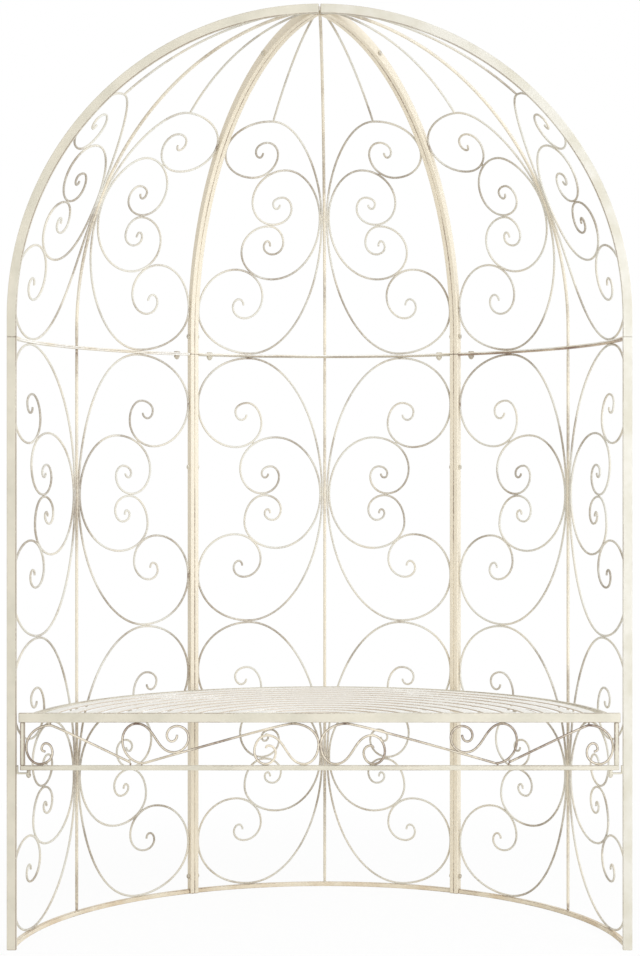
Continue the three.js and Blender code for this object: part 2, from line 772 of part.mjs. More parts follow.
const arbour = new THREE.Group();
arbour.add(
  ...panels.map(panelGroup),
  junctionGroup("right", sidePanelAngle, 0),
  junctionGroup("left", Math.PI - sidePanelAngle, Math.PI),
  seatGroup(),
);
const extent = new THREE.Box3().setFromObject(arbour, true);
arbour.position.y = -(extent.min.y + extent.max.y) / 2;

const model = new THREE.Group();
model.add(arbour);

export default model;
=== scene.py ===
"""Arbour seat: the finished looks of a cream wrought-metal arbour with a half-dome roof.

Every piece is in metres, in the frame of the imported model. The open side faces -Y and the floor is at z = 0.
"""

import math
import random
from functools import partial

import bmesh
import bpy
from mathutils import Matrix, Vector
from mathutils.geometry import intersect_point_line


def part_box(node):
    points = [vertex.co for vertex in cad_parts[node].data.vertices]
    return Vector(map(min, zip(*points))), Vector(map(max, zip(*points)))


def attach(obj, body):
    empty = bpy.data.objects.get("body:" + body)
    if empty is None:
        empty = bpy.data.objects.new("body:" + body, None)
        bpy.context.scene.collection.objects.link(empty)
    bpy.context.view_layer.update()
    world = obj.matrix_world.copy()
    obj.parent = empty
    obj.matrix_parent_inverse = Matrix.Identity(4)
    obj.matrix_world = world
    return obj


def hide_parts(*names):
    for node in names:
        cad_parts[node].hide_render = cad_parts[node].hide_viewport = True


bl_info = {
    "name": "Arbour Seat",
    "version": (1, 0, 0),
    "blender": (4, 5, 0),
    "location": "View3D > Sidebar > Arbour",
    "description": "A wrought-metal arbour with scrolled panels, a half-dome roof and a slatted seat",
    "category": "Add Mesh",
}

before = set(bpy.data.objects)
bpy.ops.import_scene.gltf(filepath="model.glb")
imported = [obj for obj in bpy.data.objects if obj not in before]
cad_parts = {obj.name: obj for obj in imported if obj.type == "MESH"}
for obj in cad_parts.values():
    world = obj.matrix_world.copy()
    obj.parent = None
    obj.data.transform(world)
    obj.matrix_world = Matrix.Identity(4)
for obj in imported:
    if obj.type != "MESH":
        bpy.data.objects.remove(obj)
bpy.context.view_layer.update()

BODY = "root"
MM = 0.001
ACROSS = Vector((0, 1, 0))
UP = Vector((0, 0, 1))

POST_LOW, POST_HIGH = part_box("right_front_post")
SEAT_RAIL_LOW, SEAT_RAIL_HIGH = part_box("seat_front_rail")
RIM_LOW, RIM_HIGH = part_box("seat_rear_rim")
APRON_LOW, APRON_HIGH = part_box("seat_apron_frame")
FLOOR_RAIL_LOW, FLOOR_RAIL_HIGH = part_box("centre_floor_rail")
RING_RAIL_LOW, RING_RAIL_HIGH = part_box("centre_ring_rail")
SLATS_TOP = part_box("seat_slats")[1].z

# The two side panels are a little wider than the centre one. Panels from right to left, each with its
# turn about the axis, half its angle, and its edges: -1 is the one nearer to the right front post.
SIDE_PANEL = math.radians(61)
CENTRE_PANEL = math.pi - 2 * SIDE_PANEL
PANELS = (
    ("right", SIDE_PANEL / 2, SIDE_PANEL / 2, {-1: "right_front", 1: "right_rear"}),
    ("centre", math.pi / 2, CENTRE_PANEL / 2, {-1: "centre_right", 1: "centre_left"}),
    ("left", math.pi - SIDE_PANEL / 2, SIDE_PANEL / 2, {-1: "left_rear", 1: "left_front"}),
)
# Each junction's turn, and the side of it on which the bolts have their heads
JUNCTIONS = (("right", SIDE_PANEL, 1), ("left", math.pi - SIDE_PANEL, -1))
# The panels' edges that meet at a junction. The ring rails are bolted together beside each of them.
JUNCTION_EDGES = ("right_rear", "centre_right", "centre_left", "left_rear")
# How many bolts join the posts and ribs of a junction
JUNCTION_BOLTS = 4

# Welded rods sink into each other by this much
OVERLAP = 0.5 * MM
# Share of the dome's height at which its scrolls cross the shell: they stand out above that
DOME_CROSS = 0.41
# Where the dome's spokes end, as a share of the way from the centre rib to the seam
SPOKE_TOP = 0.43
# Beads where the rods meet the centre bar, and beads on a post or rail, off the rod's middle in rods
CENTRE_BEADS = (-0.45, 0.5)
BEAD_OFF = 0.5

# Scrolls of each tier. Places are the share of the way from the centre bar to the post and the share of
# the scroll's height. The bends of the outer and inner rod run from the lower curl to the upper curl, and
# also say how the rod runs there and any rods that it stands off by. Touches are places near which
# the two rods meet, waist is where the inner rod closes on itself, and bar is where it meets the centre
# bar. Post and rail say how far up the outer rod meets the post, and how far across it meets a rail.
LEVEL = "level"
UPRIGHT = "upright"
TAIL = "tail"
SCROLLS = {
    "lower": {
        "outer": (
            (0.632, 0.208, UPRIGHT), (0.66, 0.227, LEVEL), (0.702, 0.2, UPRIGHT), (0.62, 0.166, LEVEL),
            (0.485, 0.234, UPRIGHT), (0.69, 0.328, LEVEL), (1, 0.175, UPRIGHT), (0.58, 0, LEVEL),
            (0, 0.48, UPRIGHT), (0.58, 1, LEVEL), (1, 0.82, UPRIGHT), (0.685, 0.66, LEVEL),
            (0.48, 0.75, UPRIGHT), (0.595, 0.829, LEVEL), (0.69, 0.795, UPRIGHT),
            (0.64, 0.764, LEVEL), (0.6, 0.784, UPRIGHT),
        ),
        "inner": (
            (0.41, 0.407, UPRIGHT), (0.428, 0.423, LEVEL), (0.453, 0.408, UPRIGHT),
            (0.39, 0.382, LEVEL), (0.325, 0.423, UPRIGHT), (0.455, 0.48, LEVEL, 0, -0.5),
            (0.615, 0.375, UPRIGHT), (0.36, 0.275, LEVEL), (0, 0.48, UPRIGHT, 1), (0.366, 0.698, LEVEL),
            (0.65, 0.578, UPRIGHT), (0.475, 0.48, LEVEL, 0, 0.5), (0.34, 0.547, UPRIGHT),
            (0.407, 0.587, LEVEL), (0.477, 0.56, UPRIGHT), (0.452, 0.544, LEVEL), (0.425, 0.559, UPRIGHT),
        ),
        "touches": ((0.545, 0.675), (0.545, 0.298)),
        "waist": (0.465, 0.48),
        "bar": (0, 0.48),
        "post": (0.175, 0.82),
        "rail": 0.58,
    },
    "dome": {
        "outer": (
            (0.628, 0.109, UPRIGHT), (0.665, 0.123, LEVEL), (0.714, 0.105, UPRIGHT), (0.622, 0.08, LEVEL),
            (0.477, 0.1295, UPRIGHT), (0.7, 0.19, LEVEL), (1, 0.0945, UPRIGHT), (0.575, 0, LEVEL),
            (0, 0.315, UPRIGHT), (0.565, 0.559, LEVEL), (1, 0.48, UPRIGHT), (0.67, 0.409, LEVEL),
            (0.442, 0.466, UPRIGHT), (0.572, 0.501, LEVEL), (0.68, 0.479, UPRIGHT),
            (0.625, 0.461, LEVEL), (0.6, 0.473, UPRIGHT),
        ),
        "inner": (
            (0.432, 0.246, UPRIGHT), (0.455, 0.258, LEVEL), (0.485, 0.245, UPRIGHT),
            (0.412, 0.2275, LEVEL), (0.323, 0.254, UPRIGHT), (0.45, 0.295, LEVEL, 0, -0.5),
            (0.67, 0.235, UPRIGHT), (0.415, 0.17, LEVEL), (0, 0.317, UPRIGHT, 1), (0.34, 0.431, LEVEL),
            (0.625, 0.358, UPRIGHT), (0.425, 0.295, LEVEL, 0, 0.5), (0.266, 0.334, UPRIGHT),
            (0.351, 0.363, LEVEL), (0.434, 0.348, UPRIGHT), (0.4, 0.335, LEVEL), (0.372, 0.345, UPRIGHT),
        ),
        "touches": ((0.515, 0.419), (0.565, 0.18)),
        "waist": (0.437, 0.295),
        "bar": (0, 0.316),
        "post": (0.0945, 0.48),
        "rail": 0.575,
    },
}

# The apron's rods on one side of the middle. The number is how dark their upper and lower sides are painted,
# as painted shade beside their lit fronts: the commas and S-scrolls are darker than the long scrolls.
# Places are the share of the way to the upright and the share of the height. A tail runs straight and then
# bends, and carries the corner it bends at.
APRON_RODS = {
    "short": (3.2, (
        (
            (0.645, 0.04, TAIL, 0.9065, 0.96), (0.918, 0.96, LEVEL), (1, 0.42, UPRIGHT),
            (0.9545, 0, LEVEL), (0.911, 0.282, UPRIGHT), (0.933, 0.514, LEVEL),
            (0.948, 0.373, UPRIGHT), (0.935, 0.31, LEVEL),
        ),
        (
            (0.6, 0.02, LEVEL), (0.6725, 0.5885, UPRIGHT), (0.624, 1, LEVEL), (0.497, 0.29, LEVEL),
            (0.447, 0.66, UPRIGHT), (0.486, 0.94, LEVEL), (0.521, 0.71, UPRIGHT),
            (0.504, 0.559, LEVEL), (0.486, 0.722, UPRIGHT),
        ),
    )),
    "long": (2.2, ((
        (0.6, 0.02, TAIL, 0.13, 1), (0.091, 1, LEVEL), (0, 0.492, UPRIGHT, 0.5), (0.053, 0, LEVEL),
        (0.178, 0.71, LEVEL), (0.2224, 0.314, UPRIGHT), (0.1846, 0, LEVEL), (0.15, 0.284, UPRIGHT),
        (0.174, 0.4575, LEVEL), (0.183, 0.393, UPRIGHT),
    ),)),
}
# The apron's welds: whether the paint beside them is burnt, how their beads run, their wear and places
APRON_WELDS = {
    "welds": (False, LEVEL, 0.35, (
        (0.647, 0.1), (0.497, 0.26), (0.053, 0), (0.9545, 0), (0.18, 0.74), (0, 0.492),
    )),
    "rail_welds": (True, LEVEL, 2.0, ((0.624, 1.03), (0.091, 1.03))),
    "lugs": (True, UPRIGHT, 2.0, ((0.918, 1.02), (0.645, 0.0), (0.607, -0.01))),
}

# Lamps: place, width, share of the key light's power, and tint. All point at the arbour's middle.
LAMPS = {
    "key_lamp": ((3.5, -2.6, 2.4), 2.4, 1.0, "#E6F0FF"),
    "front_lamp": ((1.9, -4.7, 1.5), 1.3, 0.5, "#F4F8FF"),
    "fill_lamp": ((-3.2, -3.2, 1.8), 2.6, 0.07, "#FFF3C4"),
}
LAMP_AIM = Vector((0, 0, 0.9))
# Width of the camera's film in millimetres, and how far it sees in metres
FILM_WIDTH = 36
SIGHT = 200
# The floor lies just below the feet, so that no two faces share a plane
FLOOR_DROP = 0.2 * MM


# Properties


def number(name, description, default, **more):
    return bpy.props.FloatProperty(name=name, description=description, default=default, **more)


def length(name, description, millimetres):
    return number(name, description, millimetres * MM, min=0, unit="LENGTH", precision=4)


def linear(hex_colour):
    """A colour written as sRGB hex, as linear red, green, blue and alpha."""
    values = [int(hex_colour[i:i + 2], 16) / 255 for i in (1, 3, 5)]
    return [v / 12.92 if v <= 0.04045 else ((v + 0.055) / 1.055) ** 2.4 for v in values] + [1.0]


def paint_colour(name, description, hex_colour):
    return bpy.props.FloatVectorProperty(
        name=name, description=description, default=linear(hex_colour), size=4, min=0, max=1,
        subtype="COLOR",
    )


class ArbourBars(bpy.types.PropertyGroup):
    tube_width: length("Tube width", "Width of a post's narrow side", 10)
    tube_corner: length("Tube corner", "Radius of the corners of posts, ribs and the seat rail", 1.1)
    flat_corner: length("Flat corner", "Radius of the corners of the flat rails", 0.7)
    rod_size: length("Rod", "Diameter of the scroll rods", 5)
    centre_bar_size: length("Centre bar", "Diameter of the centre bars and centre ribs", 7)
    ring_rail_depth: length("Ring rail depth", "Depth of the flat rails at the ring", 15)
    spring_height: length("Spring height", "Height at which the dome starts to curve in", 1339)
    lower_sink: length("Lower sink", "How far the lower scrolls sink in between their bars", 20)
    dome_sink: length("Dome sink", "How far the dome's scrolls sink in and stand out", 13)
    crown_slit: length("Crown slit", "Gap between the two halves of the front arch at the crown", 3.7)
    fit_gap: length("Fit gap", "Gap between parts that touch", 0.3)
    weld_size: length("Weld size", "Width of a weld bead", 4.4)
    weld_lumps: length("Weld lumps", "How uneven a weld bead is", 0.9)
    bend_step: length("Bend step", "Longest straight step along a bent rod", 5)


class ArbourSeat(bpy.types.PropertyGroup):
    rim_size: length("Rim", "Width of the seat's rear rim", 10)
    slat_width: length("Slat width", "Width of a seat slat", 25)
    slat_gap: length("Slat gap", "Gap between two slats", 17)
    slat_thickness: length("Slat thickness", "Thickness of a seat slat", 3)
    slat_step: length("Slat step", "Longest straight step along a slat", 16)
    bearer_width: length("Bearer width", "Width of the bars that carry the slats", 20)
    bearer_height: length("Bearer height", "Height of the bars that carry the slats", 5)
    apron_bar_size: length("Apron bar", "Width of the apron's frame", 10)
    upright_corner: length("Upright corner", "Radius of the apron uprights' corners", 1.8)


class ArbourBolts(bpy.types.PropertyGroup):
    head_across: length("Head", "Width of a bolt head across its flats", 10)
    head_height: length("Head height", "Height of a bolt head", 4)
    nut_height: length("Nut height", "Height of a nut", 5)
    ring_head_across: length("Ring bolt head", "Width of the flat heads on the ring rails", 12)
    ring_head_height: length("Ring bolt head height", "Height of the flat heads on the ring rails", 3)
    dome_nut_height: length("Dome nut height", "Height of a dome nut", 11)
    bracket_thickness: length("Bracket thickness", "Thickness of the seat's bracket plates", 3)
    bracket_bend: length("Bracket bend", "Inner radius of a bracket's bend", 1.2)
    bracket_leg: length("Bracket leg", "Height of a bracket's leg", 18)
    front_reach: length("Front bracket reach", "From the post to a front bracket's tip", 29)
    front_bolt_reach: length("Front bolt reach", "From the post to a front bracket's bolt", 25.7)
    rear_reach: length("Rear bracket reach", "From the post to a rear bracket's tip", 25)
    spacer_height: length("Spacer height", "Height of the spacer on a front bracket", 5)
    spacer_across: length("Spacer width", "Width of the spacer on a front bracket", 9.6)
    slim_nut_across: length("Slim nut", "Width of a bracket's dome nut across its flats", 8.8)


class ArbourPaint(bpy.types.PropertyGroup):
    cream: paint_colour("Cream", "Cream paint where it is thick", "#DDD5C2")
    shade_cream: paint_colour("Shaded cream", "Cream paint where it is brushed thin", "#D2CBB8")
    # Paler cream on the right half of the front arch: painted light from the key lamp on the right
    pale_cream: paint_colour("Pale cream", "Paint on the right half of the front arch", "#DED8CA")
    # Warm cream is plain paint in most finishes. On the junctions it is partly their own warmer tone and
    # partly painted light that lightens them at the back of the arbour
    warm_cream: paint_colour("Warm cream", "Paint on the junctions, which is less weathered", "#EEE2CB")
    # Near-white slat paint: a painted sheen of the light on the slats' tops. The pale ring rails use it as
    # plain paint
    seat_cream: paint_colour("Seat cream", "Paint on the slats, which is the least worn", "#FFFBF2")
    rod_cream: paint_colour("Rod cream", "Cream paint on the rods", "#DFDACD")
    rod_shade: paint_colour("Rod shade", "Warmer stretches of the paint on the rods", "#E4DBC9")
    tan: paint_colour("Tan", "Paint stained tan near the ground and on the right ring rail", "#E0CDB0")
    glaze: paint_colour("Glaze", "Tan glaze that is wiped into the paint", "#CDC1AA")
    rod_glaze: paint_colour("Rod glaze", "Glaze where it is thick along a rod", "#A49883")
    dark_glaze: paint_colour("Dark glaze", "Pinkish brown glaze on the apron's rods", "#94786A")
    # Slat edge colour: partly wear, partly painted shade on the slats' side faces
    slat_edge: paint_colour("Slat edge", "Pinkish tan that shows along the slats' edges", "#BDA88E")
    brown: paint_colour("Brown", "Brown that shows where the paint is rubbed through", "#775A45")
    # Dark brown on the apron's rods: burnt joints, wear, and painted shade on the rods' upper and lower sides
    dark_brown: paint_colour("Dark brown", "Brown glaze left on the apron's rods", "#5E4437")
    wear: number("Wear", "How much brown shows at edges and welds", 0.9, min=0, max=1, subtype="FACTOR")


class ArbourStage(bpy.types.PropertyGroup):
    camera_distance: length("Camera distance", "From the front of the arbour to the camera", 4072)
    camera_side: length("Camera side", "How far the camera stands to the right of the middle", 79)
    camera_height: length("Camera height", "Height of the camera above the floor", 991)
    floor_size: length("Floor", "Width of the floor", 24000)
    lens: number("Lens", "Focal length", 72.6, min=1, unit="CAMERA")
    shift_x: number("Shift across", "Lens shift across the picture", -0.0387)
    shift_y: number("Shift up", "Lens shift up the picture", 0.0033)
    sky_light: number("Sky light", "Strength of the soft light from all round", 0.75, min=0)
    key_light: number("Key light", "Power of the large lamp on the right", 90, min=0, unit="POWER")


# Shape of the shell


class Shell:
    """The half cylinder and the half dome on it, in which every bar of a panel lies.

    A rise is a height measured along the shell: on the dome it is longer than the height.
    """

    def __init__(self, bars, half_panel=SIDE_PANEL / 2):
        self.bars = bars
        self.half_panel = half_panel
        self.outer, self.inner = POST_HIGH.x, POST_LOW.x
        self.radius = (self.outer + self.inner) / 2
        self.seam = bars.fit_gap / 2
        self.axis_y = POST_LOW.y - self.seam
        self.ring = POST_HIGH.z + self.seam
        self.dome_foot = self.ring + self.seam
        self.dome_rail_top = self.dome_foot + RING_RAIL_HIGH.z - RING_RAIL_LOW.z
        self.spring = bars.spring_height
        self.crown = self.spring + self.radius * math.pi / 2
        self.seam_clear = self.seam + bars.tube_width + bars.fit_gap
        self.rod_gap = bars.fit_gap + bars.rod_size / 2
        self.rod_pitch = bars.rod_size - OVERLAP

    @staticmethod
    def turned(way, turn, axis_y=0.0):
        """A way in a panel's or a seam's own frame, turned about the axis."""
        cos, sin = math.cos(turn), math.sin(turn)
        return Vector((way[0] * cos - way[1] * sin, way[0] * sin + way[1] * cos + axis_y, way[2]))

    def placed(self, point, turn):
        """A point of a panel's or a seam's own frame, turned about the axis to its place."""
        return self.turned(point, turn, self.axis_y)

    def spot(self, angle, rise):
        """A point of the shell in a panel's own frame."""
        bend = max(0.0, rise - self.spring) / self.radius
        flat = math.cos(bend)
        point = Vector((math.cos(angle) * flat, math.sin(angle) * flat, math.sin(bend))) * self.radius
        point.z += min(rise, self.spring)
        return point

    def across_angle(self, share, rods, rise):
        """The angle at a share of the way from the centre bar to the post, some rods further on."""
        radius = self.radius * math.cos(max(0.0, rise - self.spring) / self.radius)
        first = math.asin((self.bars.centre_bar_size / 2 + self.rod_gap) / radius)
        last = self.half_panel - math.asin((self.seam_clear + self.bars.rod_size / 2) / radius)
        return first + share * (last - first) + rods * self.rod_pitch / radius

    def inset(self, share, rise):
        """How far the scrolls lie inside the shell. They are flatter than the rails that they meet."""
        bow = 1 - (2 * share - 1) ** 2
        if rise < self.ring:
            return self.bars.lower_sink * bow * math.sin(math.pi * rise / self.ring)
        dome_share = (rise - self.ring) / (self.crown - self.ring)
        return self.bars.dome_sink * bow * math.sin(math.pi * dome_share / DOME_CROSS)

    def scroll_spot(self, side, low, height, share, up, rods=0, rods_up=0):
        """A point of a scroll in a panel's own frame, from its shares and the rods it stands off by."""
        rise = low + up * height + rods_up * self.rod_pitch
        point = self.spot(side * self.across_angle(share, rods, rise), rise)
        point.x -= self.inset(share, rise)
        return point

    def rib_rise(self, off_seam, size):
        """The rise at which the rod or bar at an angle off the seam meets the rib."""
        reach = (self.seam_clear + size / 2 * math.cos(off_seam)) / math.sin(off_seam)
        return self.spring + self.radius * math.acos(reach / self.radius)


def scroll_places(bends, width, height, step, least_steps=6):
    """Places along a scroll, as shares across and up with the rods to stand off by.

    A quarter of an ellipse joins a level bend to an upright one, two level bends are joined
    by an S, and a tail is a straight run with one bend in it.
    """
    spots = [tuple(bend) + (0,) * (5 - len(bend)) for bend in bends]
    places = []
    for start, end in zip(spots, spots[1:]):
        run = abs(end[0] - start[0]) * width + abs(end[1] - start[1]) * height
        steps = max(least_steps, math.ceil(run / step))
        for k in range(steps):
            t = k / steps
            if start[2] == TAIL:
                across, up = (
                    start[i] * (1 - t) ** 2 + start[3 + i] * 2 * t * (1 - t) + end[i] * t ** 2
                    for i in (0, 1)
                )
                places.append((across, up, 0, 0))
                continue
            bend = t * math.pi / 2
            if start[2] == end[2]:
                across, up = (3 * t * (1 - t) + 2 * t ** 3) / 2, t * t * (3 - 2 * t)
            elif start[2] == LEVEL:
                across, up = math.sin(bend), 1 - math.cos(bend)
            else:
                across, up = 1 - math.cos(bend), math.sin(bend)
            places.append(tuple(
                start[i] + (end[i] - start[i]) * share
                for i, share in ((0, across), (1, up), (3, across), (4, up))
            ))
    last = spots[-1]
    return [*places, (*last[:2], *last[3:])]


# Materials


def add_node(tree, kind, inputs=None, **settings):
    """Adds a node and links or sets its inputs. A node given as an input stands for its first output."""
    node = tree.nodes.new(kind)
    for name, value in settings.items():
        setattr(node, name, value)
    for socket, source in (inputs or {}).items():
        if isinstance(source, bpy.types.Node):
            source = source.outputs[0]
        if isinstance(source, bpy.types.NodeSocket):
            tree.links.new(source, node.inputs[socket])
        else:
            node.inputs[socket].default_value = source
    return node


def calculate(tree, operation, *values):
    return add_node(tree, "ShaderNodeMath", dict(enumerate(values)), operation=operation)


def cleared_tree(owner):
    """The node tree of a material or a world, with nothing in it."""
    owner.use_nodes = True
    owner.node_tree.nodes.clear()
    return owner.node_tree


# The paint's patterns, each with its size, detail and roughness. Brush strokes are drawn out along the
# bar to so many times their width. The others are soft shading, glazed stretches and chips.
PATTERNS = {
    "stroke": (1.1 * MM, 3.0, 0.6), "soft": (70 * MM, 3.0, 0.55),
    "stretch": (150 * MM, 2.0, 0.5), "chip": (6 * MM, 5.0, 0.68),
}
STROKE_LENGTH = 40
RELIEF_HEIGHT = 0.2 * MM


def paint_material(name, cream, shade, glaze, wear_and_shade_colour, edge_wear, patches, strokes, shine, relief):
    """Cream enamel brushed over brown primer and rubbed back.

    Real: solvent enamel on mild steel, brushed on thin, with a tan glaze wiped along the bar and
    rubbed back to the brown primer. To the eye it is a satin cream, nearly even on the tubes, with fine
    tan strokes along the bar, brown stretches on the rods, and broken brown lines on edges and welds.
    """
    material = bpy.data.materials.new(name)
    tree = cleared_tree(material)
    where = add_node(tree, "ShaderNodeTexCoord").outputs["Object"]
    # The grain attribute is the way along the bar and the place in its section, all in metres
    grain = add_node(tree, "ShaderNodeAttribute", attribute_name="grain").outputs["Vector"]
    worn = add_node(tree, "ShaderNodeAttribute", attribute_name="wear").outputs["Fac"]

    def noise(vector, size, detail, roughness):
        return add_node(tree, "ShaderNodeTexNoise", {
            "Vector": vector, "Scale": 1 / size, "Detail": detail, "Roughness": roughness,
        })

    def ramp(value, low, high, to_low=0.0, to_high=1.0):
        return add_node(tree, "ShaderNodeMapRange", {
            "Value": value, "From Min": low, "From Max": high, "To Min": to_low, "To Max": to_high,
        }, clamp=True)

    def blend(factor, below, above):
        return add_node(tree, "ShaderNodeMix", {
            "Factor": factor, "A": below, "B": above,
        }, data_type="RGBA").outputs["Result"]

    product = partial(calculate, tree, "MULTIPLY")
    along_bar = add_node(tree, "ShaderNodeMapping", {
        "Vector": grain, "Scale": (1 / STROKE_LENGTH, 1.0, 1.0),
    })
    stroke = noise(along_bar, *PATTERNS["stroke"])
    soft, stretch, chip = (noise(where, *PATTERNS[kind]) for kind in ("soft", "stretch", "chip"))

    base = blend(ramp(soft, 0.4, 0.65), cream, shade)
    streaked = blend(ramp(stroke, 0.52, 0.75, to_high=strokes), base, glaze)
    glazed_stretch = ramp(stretch, 0.62 - 0.2 * patches, 0.72 - 0.16 * patches)
    patch = product(glazed_stretch, ramp(stroke, 0.3, 0.62, to_low=0.7))
    glazed = blend(product(patch, patches), streaked, glaze)
    # Edges and welds carry the wear. On the slats' and apron rods' sides the same mix is painted shade too.
    # The stretches say where it is strong, and chips break it up
    strong = product(worn, ramp(stretch, 0.36, 0.62, to_low=0.3))
    rubbed = product(strong, ramp(chip, 0.3, 0.55, to_low=0.4, to_high=1.3))
    coat = blend(ramp(rubbed, 0.22, 0.7, to_high=edge_wear), glazed, wear_and_shade_colour)
    bump = add_node(tree, "ShaderNodeBump", {
        "Height": calculate(tree, "ADD", stroke, chip), "Strength": relief, "Distance": RELIEF_HEIGHT,
    })
    surface = add_node(tree, "ShaderNodeBsdfPrincipled", {
        "Base Color": coat, "Roughness": ramp(chip, 0.2, 0.8, shine, shine + 0.2), "Normal": bump,
        "IOR": 1.5, "Metallic": 0.0,
    })
    add_node(tree, "ShaderNodeOutputMaterial", {"Surface": surface})
    return material


# Each finish: its cream, shaded cream, glaze and worn colour, then its wear on edges, glazed patches,
# strokes, shine and relief
FINISH_KINDS = {
    "brushed_enamel_on_tube": ("cream shade_cream glaze brown", 0.8, 0.15, 0.12, 0.38, 0.15),
    # Paler paint on the right half of the front arch: painted light from the key lamp on the right
    "lit_enamel_on_right_tube": ("pale_cream shade_cream glaze brown", 0.6, 0.1, 0.1, 0.38, 0.15),
    # Warm, lighter paint on the junctions: partly their own tone, partly painted light
    "warm_lit_enamel_on_junction_tube": ("warm_cream warm_cream glaze brown", 0.75, 0.1, 0.1, 0.38, 0.15),
    "tan_glaze_on_floor_rail": ("warm_cream tan rod_glaze brown", 0.9, 0.2, 0.2, 0.4, 0.15),
    "pale_enamel_on_flat": ("seat_cream warm_cream glaze brown", 0.5, 0.1, 0.1, 0.38, 0.1),
    "tan_glaze_on_flat": ("glaze shade_cream rod_glaze brown", 0.8, 0.6, 0.2, 0.4, 0.15),
    "red_brown_glaze_on_flat": ("tan dark_glaze brown brown", 1.0, 0.3, 0.3, 0.4, 0.15),
    "rubbed_enamel_on_rod": ("rod_cream rod_shade rod_glaze brown", 0.8, 0.55, 0.1, 0.42, 0.05),
    "warm_enamel_on_centre_bar": ("warm_cream rod_shade glaze brown", 0.8, 0.6, 0.2, 0.42, 0.1),
    # Apron rods: glaze of their own, and painted shade on their upper and lower sides
    "glaze_left_on_apron_rod": ("warm_cream glaze dark_glaze dark_brown", 1.0, 0.5, 0.4, 0.4, 0.2),
    # Slats: near-white paint is a painted sheen on their tops, and their edge colour is partly painted shade
    "slat_enamel_with_painted_sheen_and_shade": ("seat_cream seat_cream warm_cream slat_edge", 0.8, 0.1, 0.1, 0.5, 0.03),
    "enamel_on_weld": ("cream shade_cream rod_glaze brown", 0.8, 0.4, 0.0, 0.5, 0.25),
    "enamel_on_bolt": ("cream shade_cream rod_glaze brown", 0.8, 0.2, 0.0, 0.42, 0.2),
}


def finish(name):
    """The material of a finish, made the first time that it is asked for."""
    made = bpy.data.materials.get(name)
    if made is None:
        paint = bpy.context.scene.arbour_paint
        colours, edge_wear, *others = FINISH_KINDS[name]
        colours = [getattr(paint, colour) for colour in colours.split()]
        made = paint_material(name, *colours, paint.wear * edge_wear, *others)
    return made


# Pieces


def add_object(name, data):
    """Puts a mesh, a lamp or a camera into the scene."""
    made = bpy.data.objects.new(name, data)
    bpy.context.scene.collection.objects.link(made)
    return made


def add_piece(name, mesh, slot, *nodes):
    """Links a finished mesh as a piece that stands for the named nodes of the frame."""
    piece = add_object(name, mesh)
    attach(piece, BODY)
    if nodes:
        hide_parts(*nodes)
    return piece


# Wear of a bar's four corners, in the order of SECTION_CORNERS. The posts and ribs of a junction are
# rubbed brown along the seam between them, and the left front post along the edge inside the opening,
# where the brown is partly wear and partly painted shade of the post's side face.
EVEN_WEAR = (0.5, 0.5, 0.5, 0.5)
STRONG_WEAR = (0.9, 0.9, 0.9, 0.9)
SLIGHT_WEAR = (0.25, 0.25, 0.25, 0.25)
SEAM_WEAR = {1: (0.5, 0.5, 0.1, 0.1), -1: (0.1, 0.1, 0.5, 0.5)}
ARCH_WEAR = {1: (1.0, 0.3, 0.3, 0.3), -1: (0.3, 0.3, 0.3, 1.0)}
# Brown on the front posts' inner edges: partly wear, partly painted shade of their side faces
FRONT_POST_WEAR_AND_SHADE = {"left_front": (1.3, 0.3, 0.3, 0.3), "right_front": (0.3, 0.3, 0.3, 0.5)}
# Darkening round a bar's end, partly wear and partly painted shade where bar ends meet across a gap, how far
# along it reaches, and the share of the corner by which the end is eased
END_DARKENING = 0.55
DARKENED_LENGTH = 2.5 * MM
END_LIP = 0.7
# How far past a corner its wear runs out, as a share of the corner, and at most of the flat beside it
PAST_CORNER = 0.7
PAST_FLAT = 0.6

# The right half of the front arch is paler than the left: painted light from the key lamp on the right.
# The junctions are warmer and lighter than both, partly their own tone and partly painted light that
# lightens them at the back of the arbour.
TUBE_FINISHES = {"left_front": "brushed_enamel_on_tube", "right_front": "lit_enamel_on_right_tube"}
# The lower ring rails are pale on the left, tan in the middle and red brown on the right
RING_RAIL_FINISHES = {
    "left": "pale_enamel_on_flat", "centre": "tan_glaze_on_flat", "right": "red_brown_glaze_on_flat",
}

# Corners of a bar's section: the side and the way out that each is on, and where its arc starts
SECTION_CORNERS = ((1, -1, -90), (1, 1, 0), (-1, 1, 90), (-1, -1, 180))


def rounded_section(half_side, half_out, corner, worn_corners, steps=3):
    """Points of a rounded rectangle as (side, out, wear), with an unworn point beside each corner."""
    flat = min(half_side, half_out) - corner
    beside = min(PAST_CORNER * corner, PAST_FLAT * flat)
    arc = [(0, -beside, 0), *[(k / steps, 0, 1) for k in range(steps + 1)], (1, beside, 0)]
    points = []
    for (side, out, start), worn in zip(SECTION_CORNERS, worn_corners):
        for share, aside, on_corner in arc:
            turn = math.radians(start + 90 * share)
            cos, sin = math.cos(turn), math.sin(turn)
            points.append((
                side * (half_side - corner) + corner * cos - aside * sin,
                out * (half_out - corner) + corner * sin + aside * cos, worn * on_corner,
            ))
    return points


def with_worn_ends(edges, corner):
    """Adds a rounded lip and a dark line at each end of a bar: partly wear, partly painted shade in gaps at
    ends.
    """
    lip = corner * END_LIP

    def worn_end(tip, inside):
        def between(distance):
            share = distance / max(((tip[0] + tip[1]) / 2 - (inside[0] + inside[1]) / 2).length, distance)
            return tip[0].lerp(inside[0], share), tip[1].lerp(inside[1], share)

        return [
            (*tip, lip, END_DARKENING), (*between(lip), 0.0, END_DARKENING), (*between(DARKENED_LENGTH), 0.0, 0.0),
        ]

    return [
        *worn_end(edges[0], edges[1]), *[(*pair, 0.0, 0.0) for pair in edges[1:-1]],
        *reversed(worn_end(edges[-1], edges[-2])),
    ]


